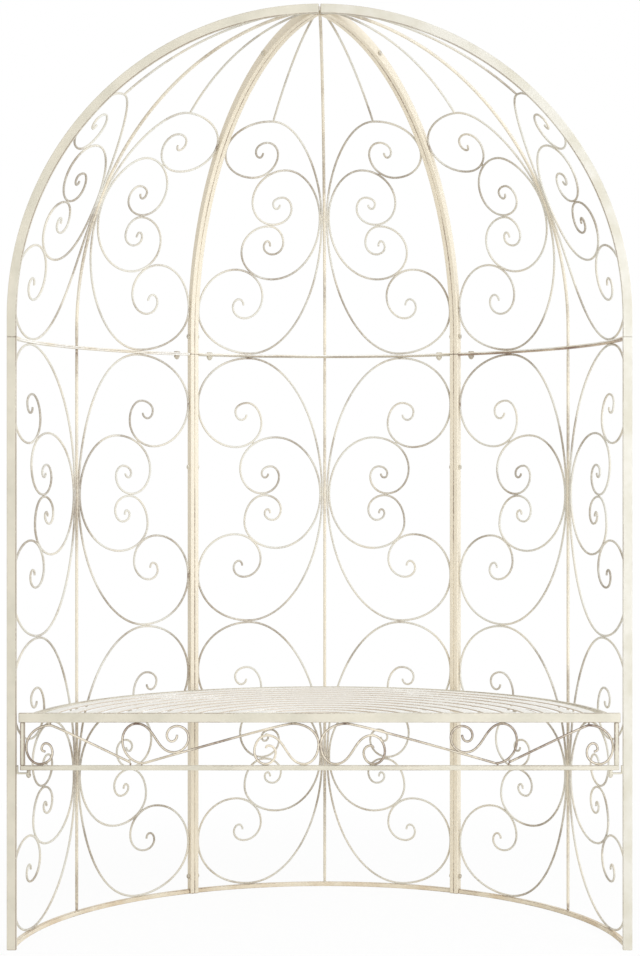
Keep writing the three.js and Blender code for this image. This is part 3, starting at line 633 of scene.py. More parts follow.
def add_bar(made, edges, side, half_side, corner, worn_corners=EVEN_WEAR):
    """Adds a bar of rounded section to a mesh, with its wear and the grain along it.

    edges are pairs of points on its outer and inner edge, and side is the way across it.
    """
    wear_layer = made.verts.layers.float["wear"]
    grain_layer = made.verts.layers.float_vector["grain"]
    half_out = (edges[0][0] - edges[0][1]).length / 2
    section = rounded_section(half_side, half_out, corner, worn_corners)
    rings = []
    along = 0.0
    before = None
    for outer, inner, shrink, wear in with_worn_ends(edges, corner):
        middle = (outer + inner) / 2
        out = (outer - inner) / (2 * half_out)
        along += (middle - before).length if before else 0.0
        before = middle
        ring = []
        for a, b, corner_wear in section:
            a -= math.copysign(min(abs(a), shrink), a)
            b -= math.copysign(min(abs(b), shrink), b)
            vert = made.verts.new(middle + side * a + out * b)
            vert[wear_layer] = max(corner_wear, wear)
            vert[grain_layer] = (along, a, b)
            ring.append(vert)
        rings.append(ring)
    for first, second in zip(rings, rings[1:]):
        for k in range(len(section)):
            n = (k + 1) % len(section)
            made.faces.new((first[k], first[n], second[n], second[k])).smooth = True
    made.faces.new(rings[0][::-1])
    made.faces.new(rings[-1])


def bar_piece(node, form, bars, finish_name, slot="tube"):
    """One piece for a node, from bars that are each given as what add_bar asks for."""
    name = f"{node}_{form}"
    made = bmesh.new()
    made.verts.layers.float.new("wear")
    made.verts.layers.float_vector.new("grain")
    for bar in bars:
        add_bar(made, *bar)
    bmesh.ops.recalc_face_normals(made, faces=made.faces)
    mesh = bpy.data.meshes.new(name)
    made.to_mesh(mesh)
    made.free()
    mesh.materials.append(finish(finish_name))
    return add_piece(name, mesh, slot, node)


# Rods, slats, welds and bolts made by Geometry Nodes


def new_tree(name, **inputs):
    """A geometry tree with a mesh in, a mesh out, the named inputs and a finish, and what it is given."""
    tree = bpy.data.node_groups.new(name, "GeometryNodeTree")
    for label, kind in {"Geometry": "Geometry", **inputs, "Finish": "Material"}.items():
        tree.interface.new_socket(label, in_out="INPUT", socket_type="NodeSocket" + kind)
    tree.interface.new_socket("Geometry", in_out="OUTPUT", socket_type="NodeSocketGeometry")
    return tree, add_node(tree, "NodeGroupInput").outputs


def end_tree(tree, given, mesh, smooth):
    """Ends a tree: shading, real geometry and the finish."""
    shaded = add_node(tree, "GeometryNodeSetShadeSmooth", {"Geometry": mesh, "Shade Smooth": smooth})
    real = add_node(tree, "GeometryNodeRealizeInstances", {"Geometry": shaded})
    painted = add_node(tree, "GeometryNodeSetMaterial", {"Geometry": real, "Material": given["Finish"]})
    add_node(tree, "NodeGroupOutput", {"Geometry": painted})
    return tree


def named(tree, name, kind="FLOAT"):
    """Reads a named value of each point."""
    return add_node(tree, "GeometryNodeInputNamedAttribute", {"Name": name}, data_type=kind)


def store(tree, mesh, name, value, kind="FLOAT", domain="POINT"):
    """Writes a named value for each point or face."""
    return add_node(tree, "GeometryNodeStoreNamedAttribute", {
        "Geometry": mesh, "Name": name, "Value": value,
    }, data_type=kind, domain=domain)


def swept(tree, path, profile, **more):
    """Sweeps a profile along a path. The grain is the way along it and the place in its section."""
    along = add_node(tree, "GeometryNodeSplineParameter").outputs["Length"]
    place = add_node(tree, "GeometryNodeInputPosition")
    bar = add_node(tree, "GeometryNodeCurveToMesh", {
        "Curve": store(tree, path, "along", along),
        "Profile Curve": store(tree, profile, "section", place, "FLOAT_VECTOR"), "Fill Caps": True, **more,
    })
    section = add_node(tree, "ShaderNodeSeparateXYZ", {"Vector": named(tree, "section", "FLOAT_VECTOR")})
    grain = add_node(tree, "ShaderNodeCombineXYZ", {
        "X": named(tree, "along"), "Y": section.outputs["X"], "Z": section.outputs["Y"],
    })
    return store(tree, bar, "grain", grain, "FLOAT_VECTOR")


def scaled(tree, vector, scale):
    return add_node(tree, "ShaderNodeVectorMath", {0: vector, "Scale": scale}, operation="SCALE")


def copies(tree, points, thing, axis, **more):
    """A copy of a thing at each point, with its axis along the way that the point carries."""
    turn = add_node(tree, "FunctionNodeAlignRotationToVector", {
        "Vector": named(tree, "run", "FLOAT_VECTOR"),
    }, axis=axis)
    return add_node(tree, "GeometryNodeInstanceOnPoints", {
        "Points": points, "Instance": thing, "Rotation": turn, **more,
    })


def rod_along_path():
    """Round rod along each path, as thick as its points say."""
    tree, given = new_tree("rod_along_path", Radius="Float", Sides="Int")
    path = add_node(tree, "GeometryNodeMeshToCurve", {"Mesh": given["Geometry"]})
    profile = add_node(tree, "GeometryNodeCurvePrimitiveCircle", {
        "Resolution": given["Sides"], "Radius": given["Radius"],
    })
    return end_tree(tree, given, swept(tree, path, profile, Scale=named(tree, "thickness")), True)


def flat_bar_along_path():
    """Flat bar with rounded edges along each level path. Its sides and edges are darkened, partly as wear and
    partly as painted shade, not its top.
    """
    tree, given = new_tree("flat_bar_along_path", Width="Float", Thickness="Float", Corner="Float")
    path = add_node(tree, "GeometryNodeMeshToCurve", {"Mesh": given["Geometry"]})
    level = add_node(tree, "GeometryNodeSetCurveNormal", {"Curve": path}, mode="Z_UP")
    profile = add_node(tree, "GeometryNodeCurvePrimitiveQuadrilateral", {
        "Width": given["Width"], "Height": given["Thickness"],
    })
    eased = add_node(tree, "GeometryNodeFilletCurve", {
        "Curve": profile, "Count": 2, "Radius": given["Corner"],
    }, mode="POLY")
    bar = swept(tree, level, eased)
    slope = add_node(tree, "ShaderNodeSeparateXYZ", {"Vector": add_node(tree, "GeometryNodeInputNormal")})
    # Side faces are darker by how far they turn from up: partly wear, partly painted shade
    side_shade_and_wear = 1.6
    edge = calculate(
        tree, "MULTIPLY_ADD", calculate(tree, "ABSOLUTE", slope.outputs["Z"]), -side_shade_and_wear, side_shade_and_wear
    )
    return end_tree(tree, given, store(tree, bar, "wear", edge, domain="FACE"), False)


def weld_beads():
    """A small uneven lump of weld at each point, drawn out along its joint."""
    tree, given = new_tree("weld_beads", Size="Float", Roughness="Float", Seed="Int")
    lump = add_node(tree, "GeometryNodeMeshIcoSphere", {"Radius": 0.5, "Subdivisions": 3})
    least, most = (1.15, 0.8, 0.75), (1.7, 1.05, 1.0)
    swell = add_node(tree, "FunctionNodeRandomValue", {
        0: least, 1: most, "Seed": given["Seed"],
    }, data_type="FLOAT_VECTOR")
    beads = copies(tree, given["Geometry"], lump, "X", Scale=scaled(tree, swell, given["Size"]))
    real = add_node(tree, "GeometryNodeRealizeInstances", {"Geometry": beads})
    lump_size = 2.6 * MM
    lumps = add_node(tree, "ShaderNodeTexNoise", {
        "Vector": add_node(tree, "GeometryNodeInputPosition"), "Scale": 1 / lump_size, "Detail": 2.0,
    })
    centred = add_node(tree, "ShaderNodeVectorMath", {
        0: lumps.outputs["Color"], 1: (0.5, 0.5, 0.5),
    }, operation="SUBTRACT")
    uneven = add_node(tree, "GeometryNodeSetPosition", {
        "Geometry": real, "Offset": scaled(tree, centred, given["Roughness"]),
    })
    return end_tree(tree, given, uneven, True)


def bolt_heads_and_nuts():
    """A six-sided head or nut at each point, along its axis, with a dome as high as it is told."""
    tree, given = new_tree("bolt_heads_and_nuts", Across="Float", Height="Float", Dome="Float")
    times = partial(calculate, tree, "MULTIPLY")
    # The lip slopes over the last part of the height to a top that is a little narrower
    lip_share, top_share, dome_share = 0.28, 0.84, 0.97
    radius = times(given["Across"], 0.5 / math.cos(math.pi / 6))
    flat, lip = times(given["Height"], 1 - lip_share), times(given["Height"], lip_share)
    top = times(radius, top_share)
    half_up = add_node(tree, "ShaderNodeCombineXYZ", {"Z": times(flat, 0.5)})
    up = add_node(tree, "ShaderNodeCombineXYZ", {"Z": flat})
    dome = add_node(tree, "ShaderNodeCombineXYZ", {"X": dome_share, "Y": dome_share, "Z": given["Dome"]})
    head = add_node(tree, "GeometryNodeJoinGeometry")
    for form, sizes, place in (
        ("Cylinder", {"Vertices": 6, "Radius": radius, "Depth": flat}, {"Translation": half_up}),
        ("Cone", {
            "Vertices": 6, "Radius Top": top, "Radius Bottom": radius, "Depth": lip,
        }, {"Translation": up}),
        ("UVSphere", {"Segments": 16, "Rings": 12, "Radius": top}, {"Translation": up, "Scale": dome}),
    ):
        made = add_node(tree, "GeometryNodeMesh" + form, sizes)
        moved = add_node(tree, "GeometryNodeTransform", {"Geometry": made, **place})
        tree.links.new(moved.outputs[0], head.inputs[0])
    return end_tree(tree, given, copies(tree, given["Geometry"], head, "Z"), False)


def grown(name, guide, build, finish_name, **inputs):
    """The mesh that a geometry tree makes from a guide mesh, with the guide and the modifier gone.

    The tree is built the first time that it is asked for, and has its builder's name.
    """
    tree = bpy.data.node_groups.get(build.__name__) or build()
    holder = add_object(name + "_guide", guide)
    modifier = holder.modifiers.new(tree.name, "NODES")
    modifier.node_group = tree
    values = {**inputs, "Finish": finish(finish_name)}
    for item in tree.interface.items_tree:
        if item.item_type == "SOCKET" and item.in_out == "INPUT" and item.name in values:
            modifier[item.identifier] = values[item.name]
    bpy.context.view_layer.update()
    graph = bpy.context.evaluated_depsgraph_get()
    mesh = bpy.data.meshes.new_from_object(holder.evaluated_get(graph))
    bpy.data.objects.remove(holder)
    bpy.data.meshes.remove(guide)
    mesh.name = name
    return mesh


def point_values(mesh, name, values, kind="FLOAT", part="value"):
    """Gives each point of a mesh its value."""
    layer = mesh.attributes.get(name) or mesh.attributes.new(name, kind, "POINT")
    layer.data.foreach_set(part, values)


def path_guide(paths):
    """A guide mesh of open paths."""
    points, edges = [], []
    for path in paths:
        start = len(points)
        points += path
        edges += [(start + k, start + k + 1) for k in range(len(path) - 1)]
    mesh = bpy.data.meshes.new("guide")
    mesh.from_pydata(points, edges, [])
    return mesh


# A rod's end is a little thinner. Its wear is even, stronger near each joint, and dark where it is burnt.
ROD_END = 0.86
ROD_WEAR = 0.36
JOINT_WEAR = 0.4
JOINT_REACH = 13 * MM
BURN_RANGE = (0.15, 1.0)
BURN_FALL = 0.7


def rod_piece(name, paths, joints, finish_name, slot, *nodes, size, sides, seed=None):
    """One piece of round rods along paths.

    A joint is given as its place and whether the paint is burnt and rubbed dark beside it.
    """
    mesh = path_guide(paths)
    thickness = [value for path in paths for value in (ROD_END, *[1.0] * (len(path) - 2), ROD_END)]
    chance = random.Random(seed or name)
    burns = [chance.uniform(*BURN_RANGE) for _ in joints]
    wear = []
    for point in (point for path in paths for point in path):
        worst = ROD_WEAR
        for (spot, burnt), burn in zip(joints, burns):
            near = max(0.0, 1 - (point - spot).length / JOINT_REACH)
            worst = max(worst, burn * near ** BURN_FALL if burnt else JOINT_WEAR * near)
        wear.append(worst)
    point_values(mesh, "thickness", thickness)
    point_values(mesh, "wear", wear)
    mesh = grown(name, mesh, rod_along_path, finish_name, Radius=size / 2, Sides=sides)
    return add_piece(name, mesh, slot, *nodes)


def spot_piece(name, spots, build, finish_name, wear, slot, *nodes, **inputs):
    """One piece of welds or bolts, at spots that are each a point and the way that it runs."""
    mesh = path_guide([[point] for point, _ in spots])
    point_values(mesh, "run", [value for _, way in spots for value in way], "FLOAT_VECTOR", "vector")
    mesh = grown(name, mesh, build, finish_name, **inputs)
    point_values(mesh, "wear", [wear] * len(mesh.vertices))
    return add_piece(name, mesh, slot, *nodes)


def weld_piece(name, spots, bars, seed, wear=0.35):
    return spot_piece(
        name, spots, weld_beads, "enamel_on_weld", wear, "rod",
        Size=bars.weld_size, Roughness=bars.weld_lumps, Seed=seed,
    )


# How high a dome stands on a nut, as a share of its half width, and next to none for a plain head
NUT_DOME = 1.05
NO_DOME = 0.01


def bolt_piece(name, spots, across, height, dome, *nodes, wear=0.4):
    return spot_piece(
        name, spots, bolt_heads_and_nuts, "enamel_on_bolt", wear, "bolt", *nodes,
        Across=across, Height=height, Dome=dome,
    )


def wear_sides(mesh, darkest_side, lit_front_share=0.45):
    """Paints shade above and below a rod, darker as its surface turns from the front. A share of the front's
    width stays lit.
    """
    for vertex, wear in zip(mesh.vertices, mesh.attributes["wear"].data):
        off_front = (1 - min(1.0, vertex.normal.y ** 2)) ** 0.5
        wear.value = max(wear.value, darkest_side * (off_front - lit_front_share))


# Scrollwork


def nearest_on(path, spot):
    """The point of a path nearest to a spot, and the way the path runs there."""
    best = None
    for start, end in zip(path, path[1:]):
        share = intersect_point_line(spot, start, end)[1]
        near = start.lerp(end, min(1.0, max(0.0, share)))
        if best is None or (near - spot).length < (best[0] - spot).length:
            best = near, (end - start).normalized()
    return best


def half_scrolls(shell, tier, side):
    """The rods of one half of a panel in its own frame, and their joints.

    A joint is its place, the way that its bead runs, and whether it is a burnt one on a rail or post.
    """
    table = SCROLLS[tier]
    if tier == "lower":
        bottom, top = FLOOR_RAIL_HIGH.z + shell.rod_gap, RING_RAIL_LOW.z - shell.rod_gap
        height = (top - bottom - shell.rod_pitch) / 2
        bottoms = (bottom, top - height)
    else:
        bottom = shell.dome_rail_top + shell.rod_gap
        height = shell.crown - bottom
        bottoms = (bottom,)
    width = shell.radius * shell.half_panel
    level = ACROSS * side
    paths, joints = [], []
    for low in bottoms:
        at = partial(shell.scroll_spot, side, low, height)
        outer, inner = (
            [at(*place) for place in scroll_places(table[rod], width, height, shell.bars.bend_step)]
            for rod in ("outer", "inner")
        )
        paths += [outer, inner]
        for place in table["touches"]:
            first, way = nearest_on(outer, at(*place))
            joints.append(((first + nearest_on(inner, at(*place))[0]) / 2, way, False))
        joints.append((at(*table["waist"]), level, False))
        joints += [(at(*table["bar"], rods), UP, False) for rods in CENTRE_BEADS]
        joints += [(at(1, up, BEAD_OFF), UP, True) for up in table["post"]]
        joints.append((at(table["rail"], 0, 0, -BEAD_OFF), level, True))
    if tier == "lower":
        joints.append((at(table["rail"], 1, 0, BEAD_OFF), level, True))
    else:
        spoke = spoke_path(shell, bottom, height, side)
        paths.append(spoke)
        joints += [(spoke[0], level, False), (spoke[-1], spoke[-1] - spoke[-2], False)]
    return paths, joints


def spoke_path(shell, bottom, height, side):
    """The straight rod from the top of a dome scroll up to the rib beside it."""
    share, up = max(SCROLLS["dome"]["outer"], key=lambda bend: bend[1])[:2]
    start_rise = bottom + up * height
    start_angle = shell.across_angle(share, 0, start_rise)
    end_angle = SPOKE_TOP * shell.half_panel
    end_rise = shell.rib_rise(shell.half_panel - end_angle, shell.bars.rod_size)
    start_inset = shell.inset(share, start_rise)
    steps = math.ceil((end_rise - start_rise) / (2 * shell.bars.bend_step))
    path = []
    for k in range(steps + 1):
        t = k / steps
        angle = start_angle + (end_angle - start_angle) * t
        point = shell.spot(side * angle, start_rise + (end_rise - start_rise) * t)
        point.x -= start_inset * (1 - t)
        path.append(point)
    return path


class ARBOUR_OT_scrollwork(bpy.types.Operator):
    """Makes the C-scrolls of every half panel and half gore from round rod"""

    bl_idname = "arbour.scrollwork"
    bl_label = "Scrollwork"

    def execute(self, context):
        bars = context.scene.arbour_bars
        for _, turn, half, edges in PANELS:
            shell = Shell(bars, half)
            for side, edge in edges.items():
                for tier, prefix in (("lower", ""), ("dome", "dome_")):
                    paths, joints = half_scrolls(shell, tier, side)
                    rod_piece(
                        f"{prefix}{edge}_scrollwork",
                        [[shell.placed(point, turn) for point in path] for path in paths],
                        [(shell.placed(point, turn), burnt) for point, _, burnt in joints],
                        "rubbed_enamel_on_rod", "rod", f"{prefix}{edge}_scrolls",
                        size=bars.rod_size, sides=10,
                    )
        return {"FINISHED"}


# Posts, ribs, rails and centre bars


def upright_bar(shell, turn, aside, lines, width, corner, worn_corners):
    """A bar in an upright plane through the axis, or a little to one side of it.

    lines are the places out and up of its outer and inner edges, in pairs.
    """
    edges = [tuple(shell.placed((out, aside, up), turn) for out, up in pair) for pair in lines]
    return edges, shell.turned(ACROSS, turn), width / 2, corner, worn_corners


def seam_tube(shell, turn, side, lines, worn_corners):
    """A post or rib beside its seam: side is 1 on the panel's left edge and -1 on its right."""
    width = shell.bars.tube_width
    aside = -side * (shell.seam + width / 2)
    return upright_bar(shell, turn, aside, lines, width, shell.bars.tube_corner, worn_corners)


def rib_lines(shell, at_front, steps=72):
    """Edges of a rib: upright from the ring to the spring height, then round to the crown."""
    bars = shell.bars
    edge = shell.seam + bars.tube_width
    if at_front:
        end = bars.crown_slit / 2
    else:
        gable = edge / math.tan(CENTRE_PANEL / 2)
        behind = (edge + bars.fit_gap + edge * math.cos(SIDE_PANEL)) / math.sin(SIDE_PANEL)
        end = max(gable, behind) + bars.fit_gap
    lines = [
        ((shell.outer, up), (shell.inner, up)) for up in (shell.dome_foot, shell.spring - bars.bend_step)
    ]
    for k in range(steps + 1):
        turns = [(radius, math.acos(end / radius) * k / steps) for radius in (shell.outer, shell.inner)]
        lines.append([(r * math.cos(turn), shell.spring + r * math.sin(turn)) for r, turn in turns])
    return lines


def level_arc(shell, turn, depth, low, high, corner, steps=40):
    """A rail curved in plan between a panel's two posts."""
    edges = []
    for k in range(steps + 1):
        pair = []
        for radius in (shell.radius + depth / 2, shell.radius - depth / 2):
            end = shell.half_panel - math.asin(shell.seam_clear / radius)
            pair.append(shell.placed((radius, 0, (low + high) / 2), turn + (2 * k / steps - 1) * end))
        edges.append(pair)
    return edges, UP, (high - low) / 2, corner


class ARBOUR_OT_frames(bpy.types.Operator):
    """Makes the posts, dome ribs and curved rails of the three panels"""

    bl_idname = "arbour.frames"
    bl_label = "Panel frames"

    def execute(self, context):
        bars = context.scene.arbour_bars
        for panel, turn, half, edges in PANELS:
            shell = Shell(bars, half)
            post = [
                ((shell.outer, up), (shell.inner, up)) for up in (POST_LOW.z, POST_HIGH.z / 2, POST_HIGH.z)
            ]
            for side, edge in edges.items():
                at_front = edge not in JUNCTION_EDGES
                tube = TUBE_FINISHES.get(edge, "warm_lit_enamel_on_junction_tube")
                for node, lines, worn_corners in (
                    (f"{edge}_post", post, FRONT_POST_WEAR_AND_SHADE.get(edge, SEAM_WEAR[side])),
                    (
                        f"dome_{edge}_rib", rib_lines(shell, at_front),
                        ARCH_WEAR[side] if at_front else SEAM_WEAR[side],
                    ),
                ):
                    bar = seam_tube(shell, turn + side * half, side, lines, worn_corners)
                    bar_piece(node, "tube", [bar], tube)
            flat = bars.ring_rail_depth, bars.flat_corner
            for node, form, (depth, corner), low, high, paint in (
                (
                    f"{panel}_floor_rail", "tube", (bars.tube_width, bars.tube_corner),
                    FLOOR_RAIL_LOW.z, FLOOR_RAIL_HIGH.z, "tan_glaze_on_floor_rail",
                ),
                (
                    f"{panel}_ring_rail", "flat", flat, RING_RAIL_LOW.z, RING_RAIL_HIGH.z,
                    RING_RAIL_FINISHES[panel],
                ),
                (
                    f"dome_{panel}_ring_rail", "flat", flat, shell.dome_foot, shell.dome_rail_top,
                    "pale_enamel_on_flat",
                ),
            ):
                bar_piece(node, form, [level_arc(shell, turn, depth, low, high, corner)], paint)
        return {"FINISHED"}


class ARBOUR_OT_centre_bars(bpy.types.Operator):
    """Makes the round centre bar of each panel and the centre rib of each gore"""

    bl_idname = "arbour.centre_bars"
    bl_label = "Centre bars"

    def execute(self, context):
        bars = context.scene.arbour_bars
        shell = Shell(bars)
        size = bars.centre_bar_size
        steps = 60
        for panel, turn, half, _ in PANELS:
            bar = [end.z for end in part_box(f"{panel}_centre_bar")]
            rib = shell.dome_rail_top + bars.fit_gap, shell.rib_rise(half, size)
            for node, (low, high) in ((f"{panel}_centre_bar", bar), (f"dome_{panel}_centre_rib", rib)):
                path = [
                    shell.placed(shell.spot(0, low + (high - low) * k / steps), turn)
                    for k in range(steps + 1)
                ]
                rod_piece(
                    f"{node}_rod", [path], [(path[0], True), (path[-1], True)],
                    "warm_enamel_on_centre_bar", "tube", node, size=size, sides=14,
                )
        return {"FINISHED"}


# Seat


def half_ring_line(shell, radius, back, z, steps):
    """Points of a half circle of the seat that starts and ends on the back of the front rail."""
    start = math.asin((back - shell.axis_y) / radius)
    return [
        shell.placed((radius, 0, z), start + (math.pi - 2 * start) * k / steps) for k in range(steps + 1)
    ]


def straight_bar(start, end, inwards, half_side, corner, worn_corners=EVEN_WEAR):
    """A straight bar across the front, from the ends of its outer edge and the way to its inner one."""
    edge = [start, (start + end) / 2, end]
    return [(point, point + inwards) for point in edge], ACROSS, half_side, corner, worn_corners


class ARBOUR_OT_seat(bpy.types.Operator):
    """Makes the seat's front rail, rear rim, half-round slats and their bearers"""

    bl_idname = "arbour.seat"
    bl_label = "Seat"

    def execute(self, context):
        bars = context.scene.arbour_bars
        seat = context.scene.arbour_seat
        shell = Shell(bars)
        front, back = SEAT_RAIL_LOW.y, SEAT_RAIL_HIGH.y
        start = Vector((SEAT_RAIL_LOW.x, (front + back) / 2, SEAT_RAIL_HIGH.z))
        end = Vector((SEAT_RAIL_HIGH.x, start.y, start.z))
        inwards = UP * (SEAT_RAIL_LOW.z - SEAT_RAIL_HIGH.z)
        rail = straight_bar(start, end, inwards, (back - front) / 2, bars.tube_corner)
        bar_piece("seat_front_rail", "tube", [rail], "brushed_enamel_on_tube")

        clear = back + bars.fit_gap
        rim_outer = (RIM_HIGH.x ** 2 + (clear - shell.axis_y) ** 2) ** 0.5
        rim_inner = rim_outer - seat.rim_size
        rim = list(zip(*(
            half_ring_line(shell, radius, clear, (RIM_LOW.z + RIM_HIGH.z) / 2, steps=96)
            for radius in (rim_outer, rim_inner)
        )))
        bar = rim, UP, (RIM_HIGH.z - RIM_LOW.z) / 2, bars.tube_corner
        bar_piece("seat_rear_rim", "tube", [bar], "brushed_enamel_on_tube")

        pitch = seat.slat_width + seat.slat_gap
        slat_z = SLATS_TOP - seat.slat_thickness / 2
        slats = []
        for k in range(int(rim_inner / pitch)):
            radius = rim_inner - seat.slat_gap - seat.slat_width / 2 - k * pitch
            steps = max(24, math.ceil(math.pi * radius / seat.slat_step))
            slats.append(half_ring_line(shell, radius, clear, slat_z, steps))
        bearer_z = SLATS_TOP - seat.slat_thickness - seat.bearer_height / 2 + OVERLAP
        bearers = []
        steps = 4
        for turn in (SIDE_PANEL, math.pi / 2, math.pi - SIDE_PANEL):
            inside = (clear - shell.axis_y + seat.bearer_width / 2 * abs(math.cos(turn))) / math.sin(turn)
            run = (rim_inner - bars.fit_gap - inside) / steps
            bearers.append([
                shell.placed((inside + run * k, 0, bearer_z), turn) for k in range(steps + 1)
            ])
        for name, paths, width, thickness in (
            ("seat_slats_flat", slats, seat.slat_width, seat.slat_thickness),
            ("seat_slat_bearers", bearers, seat.bearer_width, seat.bearer_height),
        ):
            mesh = grown(
                name, path_guide(paths), flat_bar_along_path, "slat_enamel_with_painted_sheen_and_shade",
                Width=width, Thickness=thickness, Corner=bars.flat_corner,
            )
            add_piece(name, mesh, "tube", "seat_slats")
        return {"FINISHED"}


class ARBOUR_OT_apron(bpy.types.Operator):
    """Makes the frame and the scrolls that hang under the seat's front rail"""

    bl_idname = "arbour.apron"
    bl_label = "Apron"

    def execute(self, context):
        bars = context.scene.arbour_bars
        seat = context.scene.arbour_seat
        shell = Shell(bars)
        size = seat.apron_bar_size
        middle = (APRON_LOW.y + APRON_HIGH.y) / 2
        bar_top = APRON_LOW.z + size
        low, high = (Vector((x, middle, bar_top)) for x in (APRON_LOW.x, APRON_HIGH.x))
        frame_bars = [straight_bar(low, high, UP * -size, size / 2, bars.tube_corner)]
        for side, foot in ((-1, low), (1, high)):
            tip = Vector((foot.x, middle, APRON_HIGH.z))
            inwards = Vector((-side * size, 0, 0))
            frame_bars.append(straight_bar(foot, tip, inwards, size / 2, seat.upright_corner, STRONG_WEAR))
        bar_piece("seat_apron_frame", "tube", frame_bars, "brushed_enamel_on_tube")

        width = APRON_HIGH.x - size - shell.rod_gap
        bottom = bar_top + shell.rod_gap
        height = SEAT_RAIL_LOW.z - shell.rod_gap - bottom

        def spot(side, share, up, rods=0, rods_up=0):
            across = share * width + rods * shell.rod_pitch
            return Vector((side * across, middle, bottom + up * height + rods_up * shell.rod_pitch))

        welds, joints = [], []
        for name, (burnt, run, wear, places) in APRON_WELDS.items():
            spots = [spot(side, *place) for side in (-1, 1) for place in places]
            joints += [(point, burnt) for point in spots]
            way = Vector((1, 0, 0)) if run == LEVEL else UP
            welds.append((f"seat_apron_{name}", [(point, way) for point in spots], wear))
        for name, (darkest_side, kinds) in APRON_RODS.items():
            paths = [
                [spot(side, *place) for place in scroll_places(bends, width, height, bars.bend_step / 2)]
                for side in (-1, 1) for bends in kinds
            ]
            piece = rod_piece(
                f"seat_apron_{name}_scrollwork", paths, joints, "glaze_left_on_apron_rod", "rod",
                "seat_apron_scrolls", size=bars.rod_size, sides=12, seed=name,
            )
            # Painted shade on the rods' upper and lower sides, away from their lit fronts
            wear_sides(piece.data, darkest_side)
        for name, spots, wear in welds:
            weld_piece(name, spots, bars, seed=3, wear=wear)
        return {"FINISHED"}


class ARBOUR_OT_welds(bpy.types.Operator):
    """Makes the weld beads where the scrolls, bars, rails and posts meet"""

    bl_idname = "arbour.welds"
    bl_label = "Welds"

    def execute(self, context):
        bars = context.scene.arbour_bars
        beads = {"lower": [], "dome": []}

        def weld_to_rails(shell, turn, out, across, way):
            """Beads where an upright bar meets the three rails."""
            for tier, z in (
                ("lower", FLOOR_RAIL_HIGH.z), ("lower", RING_RAIL_LOW.z), ("dome", shell.dome_rail_top),
            ):
                beads[tier].append((shell.placed((out, across, z), turn), way))

        for _, turn, half, _ in PANELS:
            shell = Shell(bars, half)
            for side in (-1, 1):
                for tier, found in beads.items():
                    for spot, way, _ in half_scrolls(shell, tier, side)[1]:
                        found.append((shell.placed(spot, turn), shell.turned(way, turn)))
                end = side * (half - math.asin(shell.seam_clear / shell.radius))
                way = shell.turned(ACROSS, turn + side * half)
                weld_to_rails(shell, turn + end, shell.radius, 0, way)
            # The beads of a centre bar lie in front of its middle
            foot = shell.radius - bars.centre_bar_size / 3
            weld_to_rails(shell, turn, foot, 0, shell.turned(ACROSS, turn))
        for seed, (tier, found) in enumerate(beads.items()):
            weld_piece(f"{tier}_tier_welds", found, bars, seed)
        return {"FINISHED"}


# Bolts and brackets


class ARBOUR_OT_bolts(bpy.types.Operator):
    """Makes the heads and nuts of the bolts that join the panels"""

    bl_idname = "arbour.bolts"
    bl_label = "Bolts"

    def execute(self, context):
        bolts = context.scene.arbour_bolts
        shell = Shell(context.scene.arbour_bars)
        face = shell.seam + shell.bars.tube_width
        heads, nuts, nodes = [], [], []
        for name, turn, head_side in JUNCTIONS:
            way = shell.turned(ACROSS, turn) * head_side
            out = shell.turned((1, 0, 0), turn)
            for k in range(JUNCTION_BOLTS):
                nodes.append(f"{name}_junction_bolt_{k + 1}")
                centre = sum(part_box(nodes[-1]), Vector()) / 2
                base = Vector((0, shell.axis_y, centre.z))
                middle = base + out * (centre - base).dot(out)
                heads.append((middle + way * face, way))
                nuts.append((middle - way * face, -way))
        bolt_piece("bolt_heads", heads, bolts.head_across, bolts.head_height, NO_DOME, *nodes)
        bolt_piece("bolt_nuts", nuts, bolts.head_across, bolts.nut_height, NO_DOME)

        heads, nuts, nodes = [], [], []
        for edge in JUNCTION_EDGES:
            nodes.append(f"{edge}_ring_bolt")
            x, y, _ = sum(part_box(nodes[-1]), Vector()) / 2
            heads.append((Vector((x, y, shell.dome_rail_top)), UP))
            nuts.append((Vector((x, y, RING_RAIL_LOW.z)), -UP))
        across = bolts.ring_head_across
        bolt_piece("bolt_ring_heads", heads, across, bolts.ring_head_height, NO_DOME, *nodes)
        bolt_piece("bolt_ring_nuts", nuts, across, bolts.dome_nut_height / 2, NUT_DOME)
        return {"FINISHED"}


def bent_plate(shell, bend, turn, aside, reach, tip, shelf_low, shelf_high, width, steps=6):
    """A bent plate in a post's own frame: a leg against the post and a shelf that reaches inwards.

    The leg runs up or down to its tip. The edge lines run from there, round the bend, to the shelf's end.
    """
    wall = shell.inner - shell.bars.fit_gap
    thick = shelf_high - shelf_low
    rise, outer_z = (1, shelf_low) if tip > shelf_high else (-1, shelf_high)
    out, up = wall - thick - bend, outer_z + rise * (thick + bend)
    lines = [((wall, z), (wall - thick, z)) for z in (tip, up + rise * bend)]
    for k in range(steps + 1):
        angle = math.pi / 2 * k / steps
        lines.append([
            (out + math.cos(angle) * radius, up - rise * math.sin(angle) * radius)
            for radius in (thick + bend, bend)
        ])
    lines.append([(shell.inner - reach, z) for z in (outer_z, outer_z + rise * thick)])
    return upright_bar(shell, turn, aside, lines, width, shell.bars.flat_corner, SLIGHT_WEAR)


